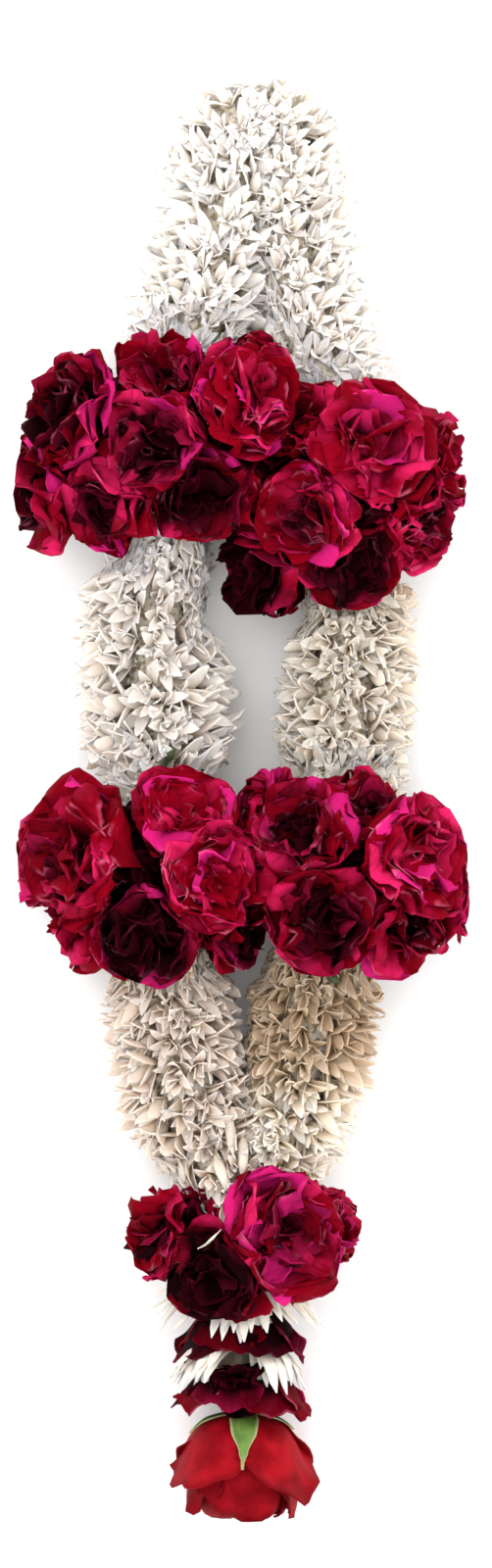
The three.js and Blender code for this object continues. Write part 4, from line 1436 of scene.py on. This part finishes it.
def sepal_green():
    """Soft green of sepals: veins along them, pale edges and browned tips."""
    shader = Shader("sepals")
    blade, across = shader.attributes("blade", "across")
    patch = shader.noise(shader.place(), 140.0, 3.0)
    veins = shader.noise(shader.combined(across * 9, blade * 1.2), 3.0)
    colour = shader.painted(
        (0.07, 0.15, 0.02),
        (patch.step(0.3, 0.7), (0.13, 0.23, 0.04)),
        (veins.step(0.5, 0.7) * 0.4, (0.27, 0.36, 0.11)),
        (abs(across).step(0.72, 0.98) * 0.5, (0.66, 0.62, 0.36)),
        (blade.step(0.75, 1.0) * 0.6, (0.5, 0.42, 0.2)),
    )
    return shader.finish(
        Base_Color=colour,
        Roughness=0.5 + patch * 0.2,
        Normal=shader.bump(veins + patch, 0.0004, 0.5),
        Specular_IOR_Level=0.35,
    )


def red_petals():
    """Matte red petals with soft veins, darker folded rims and inner whorls darkened as painted
    shade.
    """
    shader = Shader("red petals")
    blade, across, tone = shader.attributes("blade", "across", "tone")
    patch = shader.noise(shader.place(), 60.0, 3.0)
    veins = shader.noise(shader.combined(across * 9, blade * 0.9, tone * 30), 2.5, 3.0, 0.6)
    colour = shader.painted(
        (0.165, 0.001, 0.004),
        (patch.step(0.3, 0.7), (0.35, 0.005, 0.012)),
        (veins.step(0.5, 0.75) * 0.3, (0.16, 0.001, 0.004)),
        (abs(across).max(blade).step(0.9, 1.0) * 0.55, (0.12, 0.001, 0.004)),
        # Inner whorls darker: painted shade.
        (tone * 0.75, (0.06, 0.0, 0.002)),
    )
    return shader.finish(
        Base_Color=colour,
        Roughness=0.5 + patch * 0.2,
        Normal=shader.bump(veins + patch * 0.5, 0.0005, 0.5),
        Specular_IOR_Level=0.06,
        Specular_Tint=(1.0, 0.5, 0.5, 1),
    )


class RedRoseSettings(bpy.types.PropertyGroup):
    """The red rose at the tassel's end and its sepals."""

    sepal_length: real_setting("Sepal", "Length of a sepal", 0.041, unit="LENGTH")
    sepal_width: real_setting("Sepal width", "Widest part of a sepal", 0.0138, unit="LENGTH")
    seed: whole_setting("Seed", "Seed of the petals' ruffles", 77)


class GARLAND_OT_red_rose(bpy.types.Operator):
    """Makes the red rose that hangs from the tassel, facing down, and its green cup."""

    bl_idname = "garland.red_rose"
    bl_label = "Red rose"

    def execute(self, context):
        sizes = context.scene.garland_red_rose
        rng = np.random.default_rng(sizes.seed)

        def pressed(part, free):
            points, faces, attributes = part
            return fitted(points, RED_ROSE_MIDDLE, RED_ROSE_WALLS, free, 0), faces, attributes

        parts = []
        for row in RED_PETALS:
            points, faces, attributes = pressed(red_petal(*row, rng=rng), 0.93)
            # tone is the whorl's depth, which the red petals darken as painted shade.
            attributes |= everywhere(points, tone=row[0] / 3)
            parts.append((points, faces, attributes))
        add_petals("red_rose", mesh_from("red rose", parts), "red_petals", red_petals())
        half, length = sizes.sepal_width / 2, sizes.sepal_length
        sepals = [red_sepal(turn, half * w, length * l, rng) for turn, w, l in SEPALS]
        mesh = mesh_from("sepals", [cup()] + [pressed(sepal, 0.95) for sepal in sepals])
        add_piece("red_rose_sepals", mesh, "green_calyx", sepal_green(), ("red_rose_calyx",))
        return {"FINISHED"}


# ---------------------------------------------------------------- buds and stem ends

# Small things that show between the flowers: their slot, the pieces that each lies on, its widest
# radius in mm, its radius along its length against that, and the routes that it takes over them.
TRIMMINGS = {
    "buds": {
        "slot": "white_petals",
        "on": ("florets_foot_left_petals", "florets_foot_right_petals"),
        "radius": 2.8,
        "swell": [(0, 0.3), (0.3, 1), (0.7, 0.85), (1, 0.08)],
        "routes": [[(-8, -156), (-6, -168), (-4, -182)], [(1, -172), (1, -184), (0, -194)],
                   [(-13, -182), (-9, -192), (-4, -203)]],
    },
    "stem_ends": {
        "slot": "green_calyx",
        "on": ("florets_middle_left_petals", "florets_foot_right_petals"),
        "radius": 2.4,
        "swell": [(0, 0.7), (0.6, 0.6), (0.8, 1), (1, 0.5)],
        "routes": [[(-45, 7), (-40, 15), (-34, 25)], [(36, -82), (42, -88), (50, -94)]],
    },
    "filament": {
        "slot": "white_petals",
        "on": ("rose_tassel_1_petals", "rose_tassel_2_petals"),
        "radius": 0.85,
        "swell": [(0, 0.4), (0.5, 1), (1, 0.3)],
        "routes": [[(-22, -228), (-18, -226), (-14, -222), (-10, -218)]],
    },
}
TRIM_NEAR = 4 * MM  # how far round a point of a route its height is looked for
TRIM_SIDES = 10


def laid_over(route, pieces):
    """A smooth route over the pieces' petals, from its places across and along."""
    petals = np.concatenate([coordinates(bpy.data.objects[name].data) for name in pieces])
    placed = []
    for x, y in route:
        near = np.linalg.norm(petals[:, :2] - mm((x, y)), axis=1) < TRIM_NEAR
        placed.append((x, y, np.percentile(petals[near, 2], 96) / MM))
    return smooth_route(placed, 1.2 * MM)


class TrimmingSettings(bpy.types.PropertyGroup):
    """Buds, stem ends and a filament that lie between the flowers."""

    size: real_setting("Size", "Their thickness against its usual", 1.0)


class GARLAND_OT_trimmings(bpy.types.Operator):
    """Lays the buds, the green stem ends and a white filament between the flowers."""

    bl_idname = "garland.trimmings"
    bl_label = "Buds and stem ends"

    def execute(self, context):
        size = context.scene.garland_trimmings.size * MM
        skin = white_petals("bud skin", (0.7, 0.66, 0.59), 0.1)
        materials = {"white_petals": skin, "green_calyx": stalk_green()}
        for name, trimming in TRIMMINGS.items():
            parts = []
            for route in trimming["routes"]:
                line = laid_over(route, trimming["on"])
                along = np.linspace(0, 1, len(line))
                radii = blended(trimming["swell"])(along) * trimming["radius"] * size
                points = ringed(line, radii, TRIM_SIDES)
                attributes = everywhere(points, across=0, tone=0.5, shade=0)
                attributes["blade"] = np.repeat(along, TRIM_SIDES)
                parts.append((points, ring_faces(len(line), TRIM_SIDES), attributes))
            slot = trimming["slot"]
            add_piece(name, mesh_from(name, parts), slot, materials[slot])
        return {"FINISHED"}


# ---------------------------------------------------------------- stage

FRAME_LENGTH = 0.8  # how much of the garland's length the picture takes in
FRAME_CENTRE = (0.0025, 0.007)
MID_HEIGHT = 0.045
FLOOR_CORNERS, FLOOR_Z = [(-6, -6), (6, -6), (6, 6), (-6, 6)], -0.0006
# Each lamp: its place, its size across and its strength against the light from above.
LAMPS = {
    "soft light above": ((-0.5, 0.5, 1.8), 1.6, 1.0),
    "soft light right": ((1.2, -0.6, 1.4), 1.4, 0.45),
}


class StageSettings(bpy.types.PropertyGroup):
    """Camera and light."""

    height: real_setting("Camera height", "Camera above the surface", 4.0, unit="LENGTH")
    light: real_setting("Light", "Strength of the soft light from above", 11.0, unit="POWER")
    surround: real_setting("Surround", "Strength of the even white light", 1.57)
    floor: FloatVectorProperty(
        name="Floor", description="Colour of the floor", default=(0.96, 0.96, 0.96),
        subtype="COLOR", size=3,
    )


class GARLAND_OT_stage(bpy.types.Operator):
    """Sets the camera above the garland, the soft light and the pale floor."""

    bl_idname = "garland.stage"
    bl_label = "Stage"

    def execute(self, context):
        settings = context.scene.garland_stage

        def placed(name, data, place=(0, 0, 0)):
            item = bpy.data.objects.new(name, data)
            item.location = place
            context.scene.collection.objects.link(item)
            return item

        camera = bpy.data.cameras.new("camera")
        camera.sensor_width = 36
        camera.lens = camera.sensor_width * (settings.height - MID_HEIGHT) / FRAME_LENGTH
        camera.clip_end = 50
        context.scene.camera = placed("camera", camera, (*FRAME_CENTRE, settings.height))
        shader = Shader("pale floor")
        grain = shader.noise(shader.place(), 300.0) * 0.04
        colour = shader.painted(settings.floor, (grain, (0.8, 0.8, 0.8)))
        mesh = bpy.data.meshes.new("floor")
        mesh.from_pydata([(*corner, FLOOR_Z) for corner in FLOOR_CORNERS], [], [(0, 1, 2, 3)])
        mesh.materials.append(shader.finish(Base_Color=colour, Roughness=0.7))
        placed("floor", mesh)
        for name, (place, size, share) in LAMPS.items():
            lamp = bpy.data.lights.new(name, "AREA")
            lamp.shape = "DISK"
            lamp.size = size
            lamp.energy = settings.light * share
            aim = Vector((0, 0, 0.05)) - Vector(place)
            placed(name, lamp, place).rotation_euler = aim.to_track_quat("-Z", "Y").to_euler()
        world = bpy.data.worlds.new("studio")
        world.use_nodes = True
        light = world.node_tree.nodes["Background"].inputs
        light["Color"].default_value = (1, 1, 1, 1)
        light["Strength"].default_value = settings.surround
        context.scene.world = world
        context.scene.view_settings.view_transform = "Standard"
        return {"FINISHED"}


# ---------------------------------------------------------------- thread and stalks


def cotton():
    """Cotton string: pale twisted strands, stained a little by the flowers."""
    shader = Shader("cotton string")
    twist = shader.noise(shader.place((900, 300, 900)), 1.0)
    stain = shader.noise(shader.place(), 45.0)
    colour = shader.painted(
        (0.66, 0.6, 0.5),
        (stain.step(0.45, 0.7), (0.4, 0.36, 0.22)),
        (twist.step(0.4, 0.6) * 0.5, (0.3, 0.25, 0.18)),
    )
    bumps = shader.bump(twist, 0.0003, 0.6)
    return shader.finish(Base_Color=colour, Roughness=0.85, Normal=bumps)


def stalk_green():
    """Dark green stalks and cups, ribbed lengthwise and shaded brown in patches."""
    shader = Shader("stalk green")
    ribs = shader.noise(shader.place((700, 700, 160)), 1.0)
    patch = shader.noise(shader.place(), 70.0, 3.0)
    colour = shader.painted(
        (0.016, 0.035, 0.007),
        (patch.step(0.35, 0.65), (0.045, 0.07, 0.014)),
        (ribs.step(0.4, 0.65) * 0.5, (0.05, 0.035, 0.014)),
    )
    bumps = shader.bump(ribs, 0.0004, 0.5)
    return shader.finish(Base_Color=colour, Roughness=0.55 + patch * 0.2, Normal=bumps)


class GARLAND_OT_thread(bpy.types.Operator):
    """Finishes the thread and the stalks that are tied inside the bands."""

    bl_idname = "garland.thread"
    bl_label = "Thread and stalks"

    def execute(self, context):
        string, stalks = cotton(), stalk_green()
        for name, item in CAD_NODES.items():
            if name == "thread" or name.startswith("stalks_"):
                item.data.materials.clear()
                item.data.materials.append(string if name == "thread" else stalks)
        return {"FINISHED"}


# ---------------------------------------------------------------- panel and running

SETTINGS = {
    "garland_florets": FloretSettings,
    "garland_roses": RoseSettings,
    "garland_tail": TailSettings,
    "garland_red_rose": RedRoseSettings,
    "garland_trimmings": TrimmingSettings,
    "garland_stage": StageSettings,
}
OPERATORS = [
    GARLAND_OT_stage,
    GARLAND_OT_floret_strands,
    GARLAND_OT_roses,
    GARLAND_OT_tail,
    GARLAND_OT_red_rose,
    GARLAND_OT_trimmings,
    GARLAND_OT_thread,
]


class GARLAND_PT_panel(bpy.types.Panel):
    """Lists the garland's settings and the steps that make it."""

    bl_label = "Garland"
    bl_space_type = "VIEW_3D"
    bl_region_type = "UI"
    bl_category = "Garland"

    def draw(self, context):
        for name, group in SETTINGS.items():
            box = self.layout.box()
            for key in group.__annotations__:
                box.prop(getattr(context.scene, name), key)
        for operator in OPERATORS:
            self.layout.operator(operator.bl_idname)


def register():
    for made in (*SETTINGS.values(), *OPERATORS, GARLAND_PT_panel):
        bpy.utils.register_class(made)
    for name, group in SETTINGS.items():
        setattr(bpy.types.Scene, name, PointerProperty(type=group))


def unregister():
    for name in SETTINGS:
        delattr(bpy.types.Scene, name)
    for made in (GARLAND_PT_panel, *reversed(OPERATORS), *SETTINGS.values()):
        bpy.utils.unregister_class(made)


def main():
    register()
    for operator in OPERATORS:
        group, step = operator.bl_idname.split(".")
        getattr(getattr(bpy.ops, group), step)()


if __name__ == "__main__":
    main()
